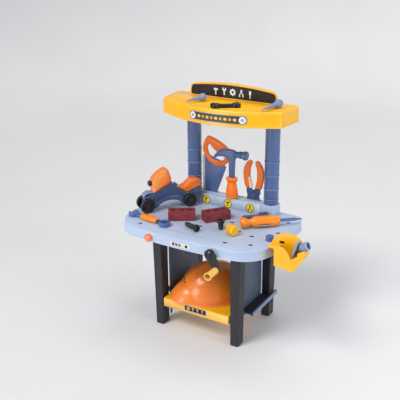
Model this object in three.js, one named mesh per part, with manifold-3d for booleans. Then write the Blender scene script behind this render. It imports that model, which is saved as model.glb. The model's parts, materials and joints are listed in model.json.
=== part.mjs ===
// Toy workbench with its tools. Millimetres, +Z up, X to the right, Y to the back.
// Heights are measured from the floor. The group is centred on its box at the end.
import * as THREE from 'three';
import { mergeVertices } from 'three/addons/utils/BufferGeometryUtils.js';
import Module from 'manifold-3d';

const wasm = await Module();
wasm.setup();

// ---- driving dimensions -----------------------------------------------------------------------------
const GAP = 0.3;
const ROUND = 24;

const DECK_TOP = 324;
const DECK_THICK = 4;
const SKIRT_BOTTOM = 297;
const SKIRT_WALL = 3.5;
const SKIRT_LIP = 1.5;
const DECK_HALF_WIDTH = 227;
const DECK_FRONT = -196;
const DECK_BACK = 100;
const DECK_BOW = 8;
const DECK_FLAT = 150;
const HOLE_RADIUS = 6;
const HOLE_DEPTH = 3;

const LEG_OUTER_X = 139;
const LEG_WIDTH = 29;
const LEG_DEPTH = 37;
const LEG_FRONT_Y = -133;
const LEG_BACK_Y = 96;
const LEG_TAPER = 4;
const LEG_WALL = 3;
const LEG_TOP = DECK_TOP - DECK_THICK - GAP;

const RAIL_FRONT_Y = 52;
const RAIL_TOP = 354;
const RAIL_HALF_WIDTH = 104;
const RAIL_STRIPS = { rail_front: [52, 55.7], rail_middle: [64.3, 78], rail_back: [84, 88] };
const BLOCK_OUTER_X = 147;
const BLOCK_BACK_Y = 99;

const COLUMN_X = 125;
const COLUMN_Y = 76.7;
const COLUMN_RADIUS = 20.4;
const COLUMN_BORE = 17.6;
const RING_RADIUS = 21.5;
const RING_HEIGHTS = [399, 439, 479];
const COLUMN_JOINT = 481;

const SHELF_BOTTOM = 594.6;
const SHELF_TOP = 637;
const SHELF_WALL = 4;
const SHELF_FRONT = -52.9;
const SHELF_BACK = 103;

const SIGN_Y = [66, 76];
const SIGN_X = 5;
const SIGN_HALF_WIDTH = 134;
const SIGN_TOP = 680;
const SIGN_END_TOP = 668;
const SIGN_BORDER = 7;

const LOWER_TOP = 90;
const LOWER_LIP = 26;
const PANEL_X = [106, 109.7];
const TRAY_HEIGHT = 73;
const TRAY_OUTER_X = 146;
const TRAY_FRONT_Y = -62;

const TOOL_FRONT_Y = 60;
const SAW_Y = 81;
const TONGUE_BOTTOM = 336;

// ---- materials --------------------------------------------------------------------------------------
function plastic(color, roughness = 0.45, metalness = 0) {
  return new THREE.MeshStandardMaterial({ color, roughness, metalness });
}

const paleBlue = plastic(0xb9c6de);
const slateBlue = plastic(0x52669a);
const yellow = plastic(0xfabe19);
const orange = plastic(0xf57828);
const black = plastic(0x1e2026);
const charcoal = plastic(0x363b41);
const maroon = plastic(0x8c3438);
const silver = plastic(0xc8ccd4);

// ---- geometry helpers -------------------------------------------------------------------------------
function bare(geometry) {
  const copy = geometry.clone();
  copy.deleteAttribute('normal');
  copy.deleteAttribute('uv');
  return mergeVertices(copy, 1e-4);
}

function facingOut(geometry) {
  const g = bare(geometry);
  const p = g.attributes.position;
  const kept = [];
  let volume = 0;
  const a = new THREE.Vector3();
  const b = new THREE.Vector3();
  const c = new THREE.Vector3();
  for (let i = 0; i < g.index.count; i += 3) {
    const [i0, i1, i2] = [g.index.getX(i), g.index.getX(i + 1), g.index.getX(i + 2)];
    if (i0 === i1 || i1 === i2 || i2 === i0) continue;
    a.fromBufferAttribute(p, i0);
    b.fromBufferAttribute(p, i1);
    c.fromBufferAttribute(p, i2);
    volume += a.dot(b.cross(c));
    kept.push(i0, i1, i2);
  }
  if (volume < 0) kept.reverse();
  g.setIndex(kept);
  return g;
}

function toSolid(geometry) {
  const g = facingOut(geometry);
  const vertProperties = Float32Array.from(g.attributes.position.array);
  const triVerts = Uint32Array.from(g.index.array);
  return new wasm.Manifold(new wasm.Mesh({ numProp: 3, vertProperties, triVerts }));
}

function fromSolid(solid) {
  const mesh = solid.getMesh();
  const g = new THREE.BufferGeometry();
  g.setAttribute('position', new THREE.BufferAttribute(Float32Array.from(mesh.vertProperties), 3));
  g.setIndex(Array.from(mesh.triVerts));
  return g;
}

function join(...geometries) {
  return fromSolid(geometries.map(toSolid).reduce((sum, next) => sum.add(next)));
}

function cut(geometry, ...cutters) {
  return fromSolid(cutters.map(toSolid).reduce((rest, next) => rest.subtract(next), toSolid(geometry)));
}

function keepInside(geometry, limit) {
  return fromSolid(toSolid(geometry).intersect(toSolid(limit)));
}

function block(x0, x1, y0, y1, z0, z1) {
  const g = new THREE.BoxGeometry(x1 - x0, y1 - y0, z1 - z0);
  return g.translate((x0 + x1) / 2, (y0 + y1) / 2, (z0 + z1) / 2);
}

function outline(points) {
  return new THREE.Shape(points.map(([x, y]) => new THREE.Vector2(x, y)));
}

function smoothOutline(points, divisions) {
  const curve = new THREE.SplineCurve([...points, points[0]].map(([x, y]) => new THREE.Vector2(x, y)));
  return new THREE.Shape(curve.getPoints(divisions).slice(0, -1));
}

function extrude(shape, depth, curveSegments = 10) {
  return new THREE.ExtrudeGeometry(shape, { depth, bevelEnabled: false, curveSegments });
}

// a plan outline (x, y) raised from z0 to z1
function prismZ(shape, z0, z1, curveSegments) {
  return extrude(shape, z1 - z0, curveSegments).translate(0, 0, z0);
}

// a front outline (x, z) running from y0 to y1
function prismY(shape, y0, y1, curveSegments) {
  return extrude(shape, y1 - y0, curveSegments).rotateX(Math.PI / 2).translate(0, y1, 0);
}

// a side outline (y, z) running from x0 to x1
function prismX(shape, x0, x1, curveSegments) {
  const turn = new THREE.Matrix4().makeBasis(
    new THREE.Vector3(0, 1, 0), new THREE.Vector3(0, 0, 1), new THREE.Vector3(1, 0, 0));
  return extrude(shape, x1 - x0, curveSegments).applyMatrix4(turn).translate(x0, 0, 0);
}

// a profile of (radius, height) turned about the Z axis
function turned(profile, segments = ROUND) {
  const points = profile.map(([r, z]) => new THREE.Vector2(r, z));
  return facingOut(new THREE.LatheGeometry(points, segments).rotateX(Math.PI / 2));
}

function rod(radius, z0, z1, segments = ROUND) {
  return turned([[0, z0], [radius, z0], [radius, z1], [0, z1]], segments);
}

function alongY(geometry) {
  return geometry.rotateX(Math.PI / 2);
}

const root = new THREE.Group();

function add(name, geometry, material, parent = root) {
  const mesh = new THREE.Mesh(facingOut(geometry), material);
  mesh.name = name;
  parent.add(mesh);
  return mesh;
}

function placed(x, y, z, degrees = 0) {
  const group = new THREE.Group();
  group.position.set(x, y, z);
  group.rotation.z = THREE.MathUtils.degToRad(degrees);
  root.add(group);
  return group;
}

// ---- worktop ----------------------------------------------------------------------------------------
function deckOutline(inset) {
  const side = DECK_HALF_WIDTH - inset;
  const front = DECK_FRONT + inset;
  const back = DECK_BACK - inset;
  const backFlat = 188 - inset;
  const shape = new THREE.Shape();
  shape.moveTo(-DECK_FLAT, front);
  shape.quadraticCurveTo(0, front - 2 * DECK_BOW, DECK_FLAT, front);
  shape.bezierCurveTo(DECK_FLAT + 38, front + 4, side, front + 34, side, front + 98);
  shape.lineTo(side, 40);
  shape.bezierCurveTo(side, 74, side - 14, back, backFlat, back);
  shape.lineTo(-backFlat, back);
  shape.bezierCurveTo(-(side - 14), back, -side, 74, -side, 40);
  shape.lineTo(-side, front + 98);
  shape.bezierCurveTo(-side, front + 34, -(DECK_FLAT + 38), front + 4, -DECK_FLAT, front);
  return shape;
}

function deckEdgeY(x) {
  return DECK_FRONT - DECK_BOW * (1 - (x / DECK_FLAT) ** 2);
}

const DECK_HOLES = [
  [152, -91], [174, -140], [202, -38], [62, -34], [0, -100], [-152, -165], [-40, 20], [107, -77],
  [-60, -60], [196, 40], [-196, 40], [110, -160],
];
const SLIT = [[-70, -163], [62, -165]];
const KNOB = { x: -96, z: 310, radius: 11 };
const CRANK = { x: 95, z: 307, hub: 14, length: 42, degrees: 31, end: 8.5 };
const CRANK_FACE = deckEdgeY(CRANK.x - CRANK.length - CRANK.end) - SKIRT_LIP - 1 - GAP;

function worktop() {
  const body = join(
    prismZ(deckOutline(0), SKIRT_BOTTOM, DECK_TOP),
    prismZ(deckOutline(-SKIRT_LIP), SKIRT_BOTTOM, SKIRT_BOTTOM + 3.5),
    block(KNOB.x - 13, KNOB.x + 15, deckEdgeY(KNOB.x) - 3, deckEdgeY(KNOB.x) + 5, SKIRT_BOTTOM, DECK_TOP - 2),
    alongY(rod(9, 0, 8, 20)).translate(CRANK.x, CRANK_FACE + GAP + 8, CRANK.z),
  );
  const hollow = prismZ(deckOutline(SKIRT_WALL), SKIRT_BOTTOM - 1, DECK_TOP - DECK_THICK);
  const recesses = DECK_HOLES.map(([x, y]) =>
    rod(HOLE_RADIUS, DECK_TOP - HOLE_DEPTH, DECK_TOP + 1, 10).translate(x, y, 0));
  const slitY = SLIT[0][1];
  const slit = block(SLIT[0][0], SLIT[1][0], slitY - 0.9, slitY + 0.9, DECK_TOP - 1.5, DECK_TOP + 1);
  return cut(body, hollow, slit, ...recesses);
}

add('worktop', worktop(), paleBlue);

// ---- legs, end panels and lower shelf ---------------------------------------------------------------
function legPlan(x0, x1, y0, y1, bevel) {
  return outline([
    [x0 + bevel, y0], [x1 - bevel, y0], [x1, y0 + bevel], [x1, y1 - bevel],
    [x1 - bevel, y1], [x0 + bevel, y1], [x0, y1 - bevel], [x0, y0 + bevel],
  ]);
}

function leg(side, y0) {
  const inner = LEG_OUTER_X - LEG_WIDTH;
  const y1 = y0 + LEG_DEPTH;
  const wall = LEG_WALL;
  const hollow = legPlan(inner + wall, LEG_OUTER_X - wall, y0 + wall, y1 - wall, 1);
  const g = cut(
    prismZ(legPlan(inner, LEG_OUTER_X, y0, y1, 2.5), 0, LEG_TOP),
    prismZ(hollow, wall, LEG_TOP + 1),
  );
  const p = g.attributes.position;
  const middleY = (y0 + y1) / 2;
  for (let i = 0; i < p.count; i++) {
    const down = 1 - p.getZ(i) / LEG_TOP;
    const x = p.getX(i) - ((p.getX(i) - inner) / LEG_WIDTH) * LEG_TAPER * down;
    const y = p.getY(i) - ((p.getY(i) - middleY) / LEG_DEPTH) * LEG_TAPER * down;
    p.setXYZ(i, side * x, y, p.getZ(i));
  }
  return g;
}

for (const [word, side] of [['left', -1], ['right', 1]]) {
  add(`leg_front_${word}`, leg(side, LEG_FRONT_Y), charcoal);
  add(`leg_back_${word}`, leg(side, LEG_BACK_Y - LEG_DEPTH), charcoal);
}

const BAY_FRONT = LEG_FRONT_Y + LEG_DEPTH + GAP;
const BAY_BACK = LEG_BACK_Y - LEG_DEPTH - GAP;

function endPanel(side) {
  const plate = new THREE.Shape();
  plate.moveTo(BAY_FRONT, 20);
  plate.lineTo(BAY_FRONT + 6, 20);
  plate.bezierCurveTo(BAY_FRONT + 8, 44, BAY_FRONT + 14, 52, BAY_FRONT + 34, 52);
  plate.lineTo(BAY_BACK - 34, 52);
  plate.bezierCurveTo(BAY_BACK - 14, 52, BAY_BACK - 8, 44, BAY_BACK - 6, 20);
  plate.lineTo(BAY_BACK, 20);
  plate.lineTo(BAY_BACK, LEG_TOP);
  plate.lineTo(BAY_FRONT, LEG_TOP);
  const outer = TRAY_OUTER_X;
  const g = join(
    prismX(plate, PANEL_X[0], PANEL_X[1], 8),
    block(PANEL_X[1] - 1, outer - 3, TRAY_FRONT_Y, BAY_BACK, TRAY_HEIGHT - 5, TRAY_HEIGHT),
    block(outer - 6, outer, TRAY_FRONT_Y, LEG_BACK_Y - 2, TRAY_HEIGHT - 8, TRAY_HEIGHT + 5),
  );
  return side > 0 ? g : g.scale(-1, 1, 1);
}

add('end_panel_left', endPanel(-1), charcoal);
add('end_panel_right', endPanel(1), charcoal);

function lowerShelf() {
  const half = PANEL_X[0] - GAP;
  const shell = block(-half, half, LEG_FRONT_Y, BAY_BACK - 1, LOWER_TOP - LOWER_LIP, LOWER_TOP);
  const under = block(-half + 3, half - 3, LEG_FRONT_Y + 3, BAY_BACK - 4, 0, LOWER_TOP - 4);
  return cut(shell, under);
}

add('lower_shelf', lowerShelf(), yellow);

// ---- tool rail, its end blocks and the columns ------------------------------------------------------
for (const [name, [y0, y1]] of Object.entries(RAIL_STRIPS)) {
  const half = RAIL_HALF_WIDTH - GAP;
  add(name, block(-half, half, y0, y1, DECK_TOP + GAP, RAIL_TOP), paleBlue);
}

function railBlock(side) {
  const r = 8;
  const plan = outline([
    [RAIL_HALF_WIDTH, RAIL_FRONT_Y], [BLOCK_OUTER_X - r, RAIL_FRONT_Y], [BLOCK_OUTER_X, RAIL_FRONT_Y + r],
    [BLOCK_OUTER_X, BLOCK_BACK_Y - r], [BLOCK_OUTER_X - r, BLOCK_BACK_Y], [RAIL_HALF_WIDTH, BLOCK_BACK_Y],
  ]);
  const g = prismZ(plan, DECK_TOP + GAP, RAIL_TOP);
  return side > 0 ? g : g.scale(-1, 1, 1);
}

function columnLower() {
  const profile = [[COLUMN_BORE, RAIL_TOP + GAP], [COLUMN_RADIUS, RAIL_TOP + GAP]];
  profile.push([COLUMN_RADIUS, 367.5], [COLUMN_RADIUS - 1.2, 369.5], [COLUMN_RADIUS, 371.5]);
  for (const z of RING_HEIGHTS) {
    profile.push([COLUMN_RADIUS, z - 1.8], [RING_RADIUS, z]);
    if (z + 2 < COLUMN_JOINT) profile.push([COLUMN_RADIUS, z + 1.8]);
  }
  profile.push([COLUMN_RADIUS, COLUMN_JOINT], [COLUMN_BORE, COLUMN_JOINT], [COLUMN_BORE, RAIL_TOP + GAP]);
  return turned(profile);
}

function columnUpper() {
  const top = SHELF_TOP - SHELF_WALL - GAP;
  const spigot = COLUMN_BORE - GAP;
  const bore = spigot - 2.4;
  return turned([
    [bore, COLUMN_JOINT - 12], [spigot, COLUMN_JOINT - 12], [spigot, COLUMN_JOINT + GAP],
    [COLUMN_RADIUS, COLUMN_JOINT + GAP], [COLUMN_RADIUS, top], [bore, top], [bore, COLUMN_JOINT - 12],
  ]);
}

for (const [word, side] of [['left', -1], ['right', 1]]) {
  add(`rail_block_${word}`, railBlock(side), paleBlue);
  add(`column_${word}_lower`, columnLower().translate(side * COLUMN_X, COLUMN_Y, 0), slateBlue);
  add(`column_${word}_upper`, columnUpper().translate(side * COLUMN_X, COLUMN_Y, 0), slateBlue);
}

// ---- top shelf and sign -----------------------------------------------------------------------------
function shelfOutline(inset) {
  const side = 191 - inset;
  const front = SHELF_FRONT + inset;
  const back = SHELF_BACK - inset;
  const shape = new THREE.Shape();
  shape.moveTo(-172 + inset, front + 52);
  shape.quadraticCurveTo(0, front - 52, 172 - inset, front + 52);
  shape.quadraticCurveTo(side - 9, front + 55, side - 8, front + 64);
  shape.lineTo(side, back - 14);
  shape.quadraticCurveTo(side, back, side - 14, back);
  shape.lineTo(-(side - 14), back);
  shape.quadraticCurveTo(-side, back, -side, back - 14);
  shape.lineTo(-(side - 8), front + 64);
  shape.quadraticCurveTo(-(side - 9), front + 55, -172 + inset, front + 52);
  return shape;
}

function topShelf() {
  const body = join(
    prismZ(shelfOutline(0), SHELF_BOTTOM, SHELF_TOP - 2, 8),
    prismZ(shelfOutline(1.5), SHELF_TOP - 3, SHELF_TOP, 8),
    prismZ(shelfOutline(-1.5), SHELF_BOTTOM, SHELF_BOTTOM + 3.5, 8),
  );
  return cut(body, prismZ(shelfOutline(SHELF_WALL), SHELF_BOTTOM - 1, SHELF_TOP - SHELF_WALL, 8));
}

add('top_shelf', topShelf(), yellow);

function signOutline(inset, bottom) {
  const half = SIGN_HALF_WIDTH - inset;
  const end = SIGN_END_TOP - inset;
  const top = SIGN_TOP - inset;
  const shape = new THREE.Shape();
  shape.moveTo(SIGN_X - half, bottom);
  shape.lineTo(SIGN_X + half, bottom);
  shape.quadraticCurveTo(SIGN_X + half, end, SIGN_X + half - 14, end + 4);
  shape.quadraticCurveTo(SIGN_X, 2 * top - end - 3, SIGN_X - half + 14, end + 4);
  shape.quadraticCurveTo(SIGN_X - half, end, SIGN_X - half, bottom);
  return shape;
}

const signRecess = prismY(signOutline(SIGN_BORDER, SHELF_TOP + GAP + 4), SIGN_Y[0] - 1, SIGN_Y[0] + 1.5, 12);
add('sign_board', cut(prismY(signOutline(0, SHELF_TOP + GAP), ...SIGN_Y, 12), signRecess), yellow);

// ---- knob and crank on the front skirt --------------------------------------------------------------
const knobFace = deckEdgeY(KNOB.x) - 3 - GAP;
const knobProfile = [
  [0, 0], [KNOB.radius - 1, 0], [KNOB.radius, 1], [KNOB.radius, 7], [KNOB.radius - 3, 10], [0, 10],
];
add('skirt_knob', alongY(turned(knobProfile, 20)).translate(KNOB.x, knobFace, KNOB.z), orange);

const crankTurn = THREE.MathUtils.degToRad(CRANK.degrees);
const gripX = CRANK.x + CRANK.length * Math.sin(crankTurn);
const gripZ = CRANK.z - CRANK.length * Math.cos(crankTurn);
const CRANK_ARM_DEPTH = 12;
const GRIP_LENGTH = 42;

function crankArm() {
  const hub = alongY(rod(CRANK.hub, 0, CRANK_ARM_DEPTH)).translate(CRANK.x, CRANK_FACE, CRANK.z);
  const end = alongY(rod(CRANK.end, 0, CRANK_ARM_DEPTH)).translate(gripX, CRANK_FACE, gripZ);
  const across = [Math.cos(crankTurn), Math.sin(crankTurn)];
  const web = outline([
    [CRANK.x - 12 * across[0], CRANK.z - 12 * across[1]], [gripX - 8 * across[0], gripZ - 8 * across[1]],
    [gripX + 8 * across[0], gripZ + 8 * across[1]], [CRANK.x + 12 * across[0], CRANK.z + 12 * across[1]],
  ]);
  const bar = prismY(web, CRANK_FACE - CRANK_ARM_DEPTH, CRANK_FACE);
  const pin = alongY(rod(3.4, 0, 10, 16)).translate(gripX, CRANK_FACE - CRANK_ARM_DEPTH + 1, gripZ);
  return join(hub, end, bar, pin);
}

const gripProfile = [
  [3.8, 0], [8, 0], [9, 6], [9, GRIP_LENGTH - 5], [10.6, GRIP_LENGTH - 3], [10.6, GRIP_LENGTH],
  [8, GRIP_LENGTH], [7.2, 12], [3.8, 12], [3.8, 0],
];
add('crank_arm', crankArm(), black);
const gripPlace = [gripX, CRANK_FACE - CRANK_ARM_DEPTH - GAP, gripZ];
add('crank_grip', alongY(turned(gripProfile, 20)).translate(...gripPlace), yellow);

// ---- vise on the right front corner -----------------------------------------------------------------
const VISE = {
  frontY: -150, frontThick: 7, backY: -116, backThick: 7, middleY: -129.5,
  jaw: [293.6, 332.6], screwDegrees: 30, screwRadius: 12.2, screwEnd: 38,
};

function alongScrew(distance) {
  const turn = THREE.MathUtils.degToRad(VISE.screwDegrees);
  return [VISE.jaw[0] + distance * Math.cos(turn), VISE.jaw[1] + distance * Math.sin(turn)];
}

function screwTurned(profile, segments) {
  const tilt = THREE.MathUtils.degToRad(90 - VISE.screwDegrees);
  return turned(profile, segments).rotateY(tilt).translate(VISE.jaw[0], VISE.middleY, VISE.jaw[1]);
}

function viseBody() {
  const front = outline([
    [244.5, 286.7], [296, 280.5], [324, 324], [318, 333], [290, 312.5], [277, 330], [266, 338],
    [254, 340], [246, 338], [243.5, 331],
  ]);
  const arch = new THREE.Shape();
  arch.moveTo(220, DECK_TOP + GAP);
  arch.lineTo(229.5, DECK_TOP + GAP);
  arch.lineTo(229.5, 290);
  arch.lineTo(244.5, 286.7);
  arch.lineTo(296, 280.5);
  arch.lineTo(313, 307);
  arch.lineTo(311, 328);
  arch.bezierCurveTo(308, 352, 290, 365, 267, 365);
  arch.bezierCurveTo(243, 365, 222, 349, 220, DECK_TOP + GAP);
  const floor = outline([
    [244.5, 286.7], [296, 280.5], [324, 324], [319.5, 327], [293.5, 287], [249.5, 292], [248.5, 331],
    [243.5, 331],
  ]);
  const [cradleX, cradleZ] = alongScrew(24);
  const cradle = outline([
    [cradleX - 8, cradleZ - 36], [cradleX + 9, cradleZ - 26],
    [cradleX + 9, cradleZ - 2], [cradleX - 8, cradleZ - 12],
  ]);
  const floorLimit = prismY(outline([
    [244.5, 286.7], [296, 280.5], [324, 324], [324, 370], [244.5, 370],
  ]), -160, -100);
  const backFace = VISE.backY + VISE.backThick;
  const body = join(
    prismY(front, VISE.frontY, VISE.frontY + VISE.frontThick),
    prismY(arch, VISE.backY, backFace, 12),
    prismY(floor, VISE.frontY, backFace),
    keepInside(prismY(cradle, VISE.frontY + 1, backFace - 1), floorLimit),
    block(220, 248, -134, backFace, DECK_TOP + GAP, DECK_TOP + 7),
  );
  const clearance = screwTurned([[0, 8], [12.9, 8], [12.9, 80], [0, 80]], 24);
  const aperture = block(243, 257, VISE.backY - 2, backFace + 2, 333, 342);
  return cut(body, clearance, aperture);
}

function viseJaw() {
  const lean = THREE.MathUtils.degToRad(17);
  const height = 22;
  const half = 3;
  const [x, z] = VISE.jaw;
  const corner = (up, out) => [
    x + up * Math.sin(lean) + out * Math.cos(lean), z + up * Math.cos(lean) - out * Math.sin(lean),
  ];
  const side = outline([
    corner(-height, -half), corner(-height, half), corner(height, half), corner(height, -half),
  ]);
  return prismY(side, VISE.middleY - 11.5, VISE.middleY + 11.5);
}

const viseScrewProfile = [
  [0, 8.2], [2.5, 8.6], [4.5, 10], [5, 12.5], [VISE.screwRadius - 2, 19], [VISE.screwRadius - 1, 21],
  [VISE.screwRadius - 1, 34], [VISE.screwRadius, 35], [VISE.screwRadius, VISE.screwEnd],
  [VISE.screwRadius - 2.6, VISE.screwEnd], [VISE.screwRadius - 3, 22], [0, 22],
];
add('vise_body', viseBody(), yellow);
add('vise_jaw', viseJaw(), slateBlue);
add('vise_screw', screwTurned(viseScrewProfile, 20), slateBlue);

// ---- saw --------------------------------------------------------------------------------------------
const SAW_HANDLE = [
  [-79, 521], [-57, 515], [-25, 499], [-11, 485], [-9, 467], [-15, 451], [-33, 438], [-53, 435],
  [-75, 444], [-91, 461], [-98, 481], [-93, 503], [-86, 516],
];
const SAW_HOLE = [
  [-79, 495], [-65, 497], [-39, 485], [-27, 475], [-27, 461], [-37, 453], [-55, 452], [-71, 459],
  [-81, 473], [-83, 487],
];

function sawHandle() {
  const body = prismY(smoothOutline(SAW_HANDLE, 40), SAW_Y - 5, SAW_Y + 5);
  return cut(body, prismY(smoothOutline(SAW_HOLE, 30), SAW_Y - 6, SAW_Y + 6));
}

function sawBlade() {
  const points = [
    [-56, TONGUE_BOTTOM], [-56, 354], [-51, 356], [-22, 434], [-40, 450], [-86, 462], [-101, 462],
  ];
  const teeth = 11;
  const [top, bottom] = [460, 358];
  const pitch = (top - bottom) / teeth;
  for (let i = 0; i < teeth; i++) {
    points.push([-102, top - i * pitch - pitch * 0.15], [-99, top - (i + 1) * pitch + pitch * 0.1]);
  }
  points.push([-96, 355], [-84, 354], [-84, TONGUE_BOTTOM]);
  const plate = prismY(outline(points), SAW_Y - 2, SAW_Y + 2);
  const grown = SAW_HANDLE.map(([x, z]) => [x + Math.sign(x + 52) * 0.5, z + Math.sign(z - 478) * 0.5]);
  return cut(plate, prismY(smoothOutline(grown, 40), SAW_Y - 8, SAW_Y + 8));
}

add('saw_handle', sawHandle(), orange);
add('saw_blade', sawBlade(), slateBlue);

// ---- hammer -----------------------------------------------------------------------------------------
const HAMMER_X = 8.5;

function hammerHead() {
  const claw = new THREE.Shape();
  claw.moveTo(-52, 462);
  claw.bezierCurveTo(-46, 484, -28, 497, -6, 498);
  claw.lineTo(12, 497);
  claw.lineTo(22, 492);
  claw.lineTo(22, 474);
  claw.lineTo(HAMMER_X + 8.5, 466);
  claw.lineTo(HAMMER_X + 7.5, 417.5);
  claw.lineTo(HAMMER_X - 7.5, 417.5);
  claw.lineTo(HAMMER_X - 8.5, 466);
  claw.bezierCurveTo(-6, 476, -30, 482, -52, 462);
  const body = prismY(claw, TOOL_FRONT_Y - 7, TOOL_FRONT_Y + 7, 8);
  const face = turned([
    [0, 10], [9, 10], [9, 25], [12.5, 29], [12.5, 46], [11, 48], [0, 48],
  ]).rotateY(Math.PI / 2).translate(HAMMER_X, TOOL_FRONT_Y, 486);
  return join(body, face);
}

function hammerGrip() {
  const profile = [
    [0, 354.6], [16.5, 354.6], [18.5, 358], [19, 366], [17, 380], [14, 396], [13.6, 403], [17, 407],
    [17.5, 412], [16, 417], [0, 417],
  ];
  const body = turned(profile, 20).scale(1, 0.68, 1).translate(HAMMER_X, TOOL_FRONT_Y, 0);
  const [y0, y1] = [TOOL_FRONT_Y - 3.5, TOOL_FRONT_Y + 3.5];
  const tongue = block(HAMMER_X - 10, HAMMER_X + 10, y0, y1, TONGUE_BOTTOM, 356);
  return join(body, tongue);
}

add('hammer_head', hammerHead(), slateBlue);
add('hammer_grip', hammerGrip(), orange);

// ---- pliers -----------------------------------------------------------------------------------------
const PLIERS = { x: 67.2, y: SAW_Y, pivotZ: 365, layer: 2.7, gripTop: 105 };

function pliersHalf(side) {
  const drop = TONGUE_BOTTOM - PLIERS.pivotZ;
  const shape = outline([
    [side * 0.8, drop], [side * 20, drop], [side * 22, -14], [side * 19, 3], [side * 6, 12],
    [-side * 6, 22.7], [-side * 21, 22.7], [-side * 21, 8], [-side * 14, -5], [side * 0.8, -13],
  ]);
  const [y0, y1] = side > 0 ? [-PLIERS.layer, -0.15] : [0.15, PLIERS.layer];
  const bore = alongY(rod(4.3, -20, 20, 16));
  return cut(prismY(shape, y0, y1), bore).translate(PLIERS.x, PLIERS.y, PLIERS.pivotZ);
}

function pliersGrip(side) {
  const shape = new THREE.Shape();
  const at = (dx, up) => [-side * dx, up];
  const top = PLIERS.gripTop;
  shape.moveTo(...at(5, 23));
  shape.bezierCurveTo(...at(9, 34), ...at(15, 44), ...at(15, 62));
  shape.bezierCurveTo(...at(15, 80), ...at(10, 90), ...at(6, top - 8));
  shape.bezierCurveTo(...at(5, top), ...at(14, top + 2), ...at(19, top - 5));
  shape.bezierCurveTo(...at(27, top - 14), ...at(32, top - 26), ...at(31.5, 64));
  shape.bezierCurveTo(...at(31, 48), ...at(27, 36), ...at(21.5, 23));
  shape.lineTo(...at(5, 23));
  return prismY(shape, -5, 5, 6).translate(PLIERS.x, PLIERS.y, PLIERS.pivotZ);
}

const pinProfile = [[0, -5.5], [6, -5.5], [6, -3], [4, -3], [4, 3], [6, 3], [6, 5.5], [0, 5.5]];
add('pliers_half_front', pliersHalf(1), slateBlue);
add('pliers_half_back', pliersHalf(-1), slateBlue);
add('pliers_grip_left', pliersGrip(1), orange);
add('pliers_grip_right', pliersGrip(-1), orange);
add('pliers_pin', alongY(turned(pinProfile, 16)).translate(PLIERS.x, PLIERS.y, PLIERS.pivotZ), slateBlue);

// ---- spanner with a grip ----------------------------------------------------------------------------
const SPANNER = { place: [-139, -138.5], degrees: -9, ring: 55, jaw: -62, thick: 12 };
const spannerGroup = placed(...SPANNER.place, DECK_TOP + GAP, SPANNER.degrees);

function spanner() {
  const { ring, jaw, thick } = SPANNER;
  const ringDisc = rod(16, 0, thick).translate(ring, 0, 0);
  const jawDisc = rod(14.5, 0, thick).translate(jaw, 0, 0);
  const bar = block(jaw, ring, -5, 5, 2, 10);
  const mouth = block(-20, 0, -6.5, 6.5, -1, thick + 1).rotateZ(-0.3).translate(jaw - 1, 0, 0);
  return cut(join(ringDisc, jawDisc, bar), rod(10, -1, thick + 1).translate(ring, 0, 0), mouth);
}

function spannerGrip() {
  const shape = new THREE.Shape();
  const [half, r] = [11.5, 4];
  shape.moveTo(-half, 0);
  shape.lineTo(half, 0);
  shape.quadraticCurveTo(half + 1.5, 8, half - r, 15);
  shape.lineTo(-half + r, 15);
  shape.quadraticCurveTo(-half - 1.5, 8, -half, 0);
  const sleeve = prismX(shape, -30, 28, 6);
  return cut(sleeve, block(-40, 40, -5.3, 5.3, 1.7, 10.3));
}

add('spanner', spanner(), slateBlue, spannerGroup);
add('spanner_grip', spannerGrip(), orange, spannerGroup);

// ---- screwdriver and flat bar -----------------------------------------------------------------------
const driverGroup = placed(101.8, -61.8, DECK_TOP + GAP + 15.6, 40.7);
const driverProfile = [
  [0, 0], [10, 0], [14.4, 3], [15, 9], [13, 16], [9, 23], [9, 29], [14.5, 37], [15.5, 48], [15.5, 84],
  [14, 98], [11.5, 104], [11.5, 108], [4.8, 108], [4.8, 90], [0, 90],
];
const shaftBlade = block(-6, 6, -1.6, 1.6, 158, 170);

function driverShaft() {
  const round = rod(4.5, 90.4, 160, 16);
  return join(round, shaftBlade).rotateY(Math.PI / 2);
}

add('screwdriver_grip', turned(driverProfile, 20).rotateY(Math.PI / 2), orange, driverGroup);
add('screwdriver_shaft', driverShaft(), slateBlue, driverGroup);

const barGroup = placed(104.5, 20.5, DECK_TOP + GAP, 43);

function flatBar() {
  const shape = outline([
    [-34, -8], [22, -6], [30, -8], [36, -3], [36, 4], [30, 8], [22, 6], [-34, 8], [-38, 0],
  ]);
  const head = outline([[10, -6.5], [22, -6], [30, -8], [36, -3], [36, 4], [30, 8], [22, 6], [10, 6.5]]);
  return cut(join(prismZ(shape, 0, 9), prismZ(head, 1, 15)), rod(3.5, -1, 16, 12).translate(29, 0, 0));
}

add('flat_bar', flatBar(), slateBlue, barGroup);

// ---- bricks -----------------------------------------------------------------------------------------
const BRICK = { length: 75, width: 34, height: 27 };

function brick() {
  const { length, width, height } = BRICK;
  const body = block(0, length, 0, width, 0, height);
  const pockets = [-1, 0, 1].map((i) =>
    rod(1, height - 3, height + 1, 16).scale(8, 5.5, 1).translate(length / 2 + i * 23, width / 2, 0));
  return cut(body, ...pockets);
}

add('brick_left', brick(), maroon, placed(-93.2, -117, DECK_TOP + GAP, 32));
add('brick_right', brick(), maroon, placed(4.9, -79, DECK_TOP + GAP, 54));

// ---- bolts, nut and peg -----------------------------------------------------------------------------
const THREAD_PITCH = 7;

function bolt(shank, length, head, headHeight) {
  const profile = [[0, 0], [head - 1, 0], [head, 1], [head, headHeight], [shank, headHeight]];
  const turns = Math.floor((length - headHeight - 4) / THREAD_PITCH);
  for (let i = 0; i < turns; i++) {
    const z = headHeight + 2 + i * THREAD_PITCH;
    profile.push([shank, z], [shank - 1, z + THREAD_PITCH / 2]);
  }
  profile.push([shank - 1, length], [0, length]);
  return turned(profile, 16);
}

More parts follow.
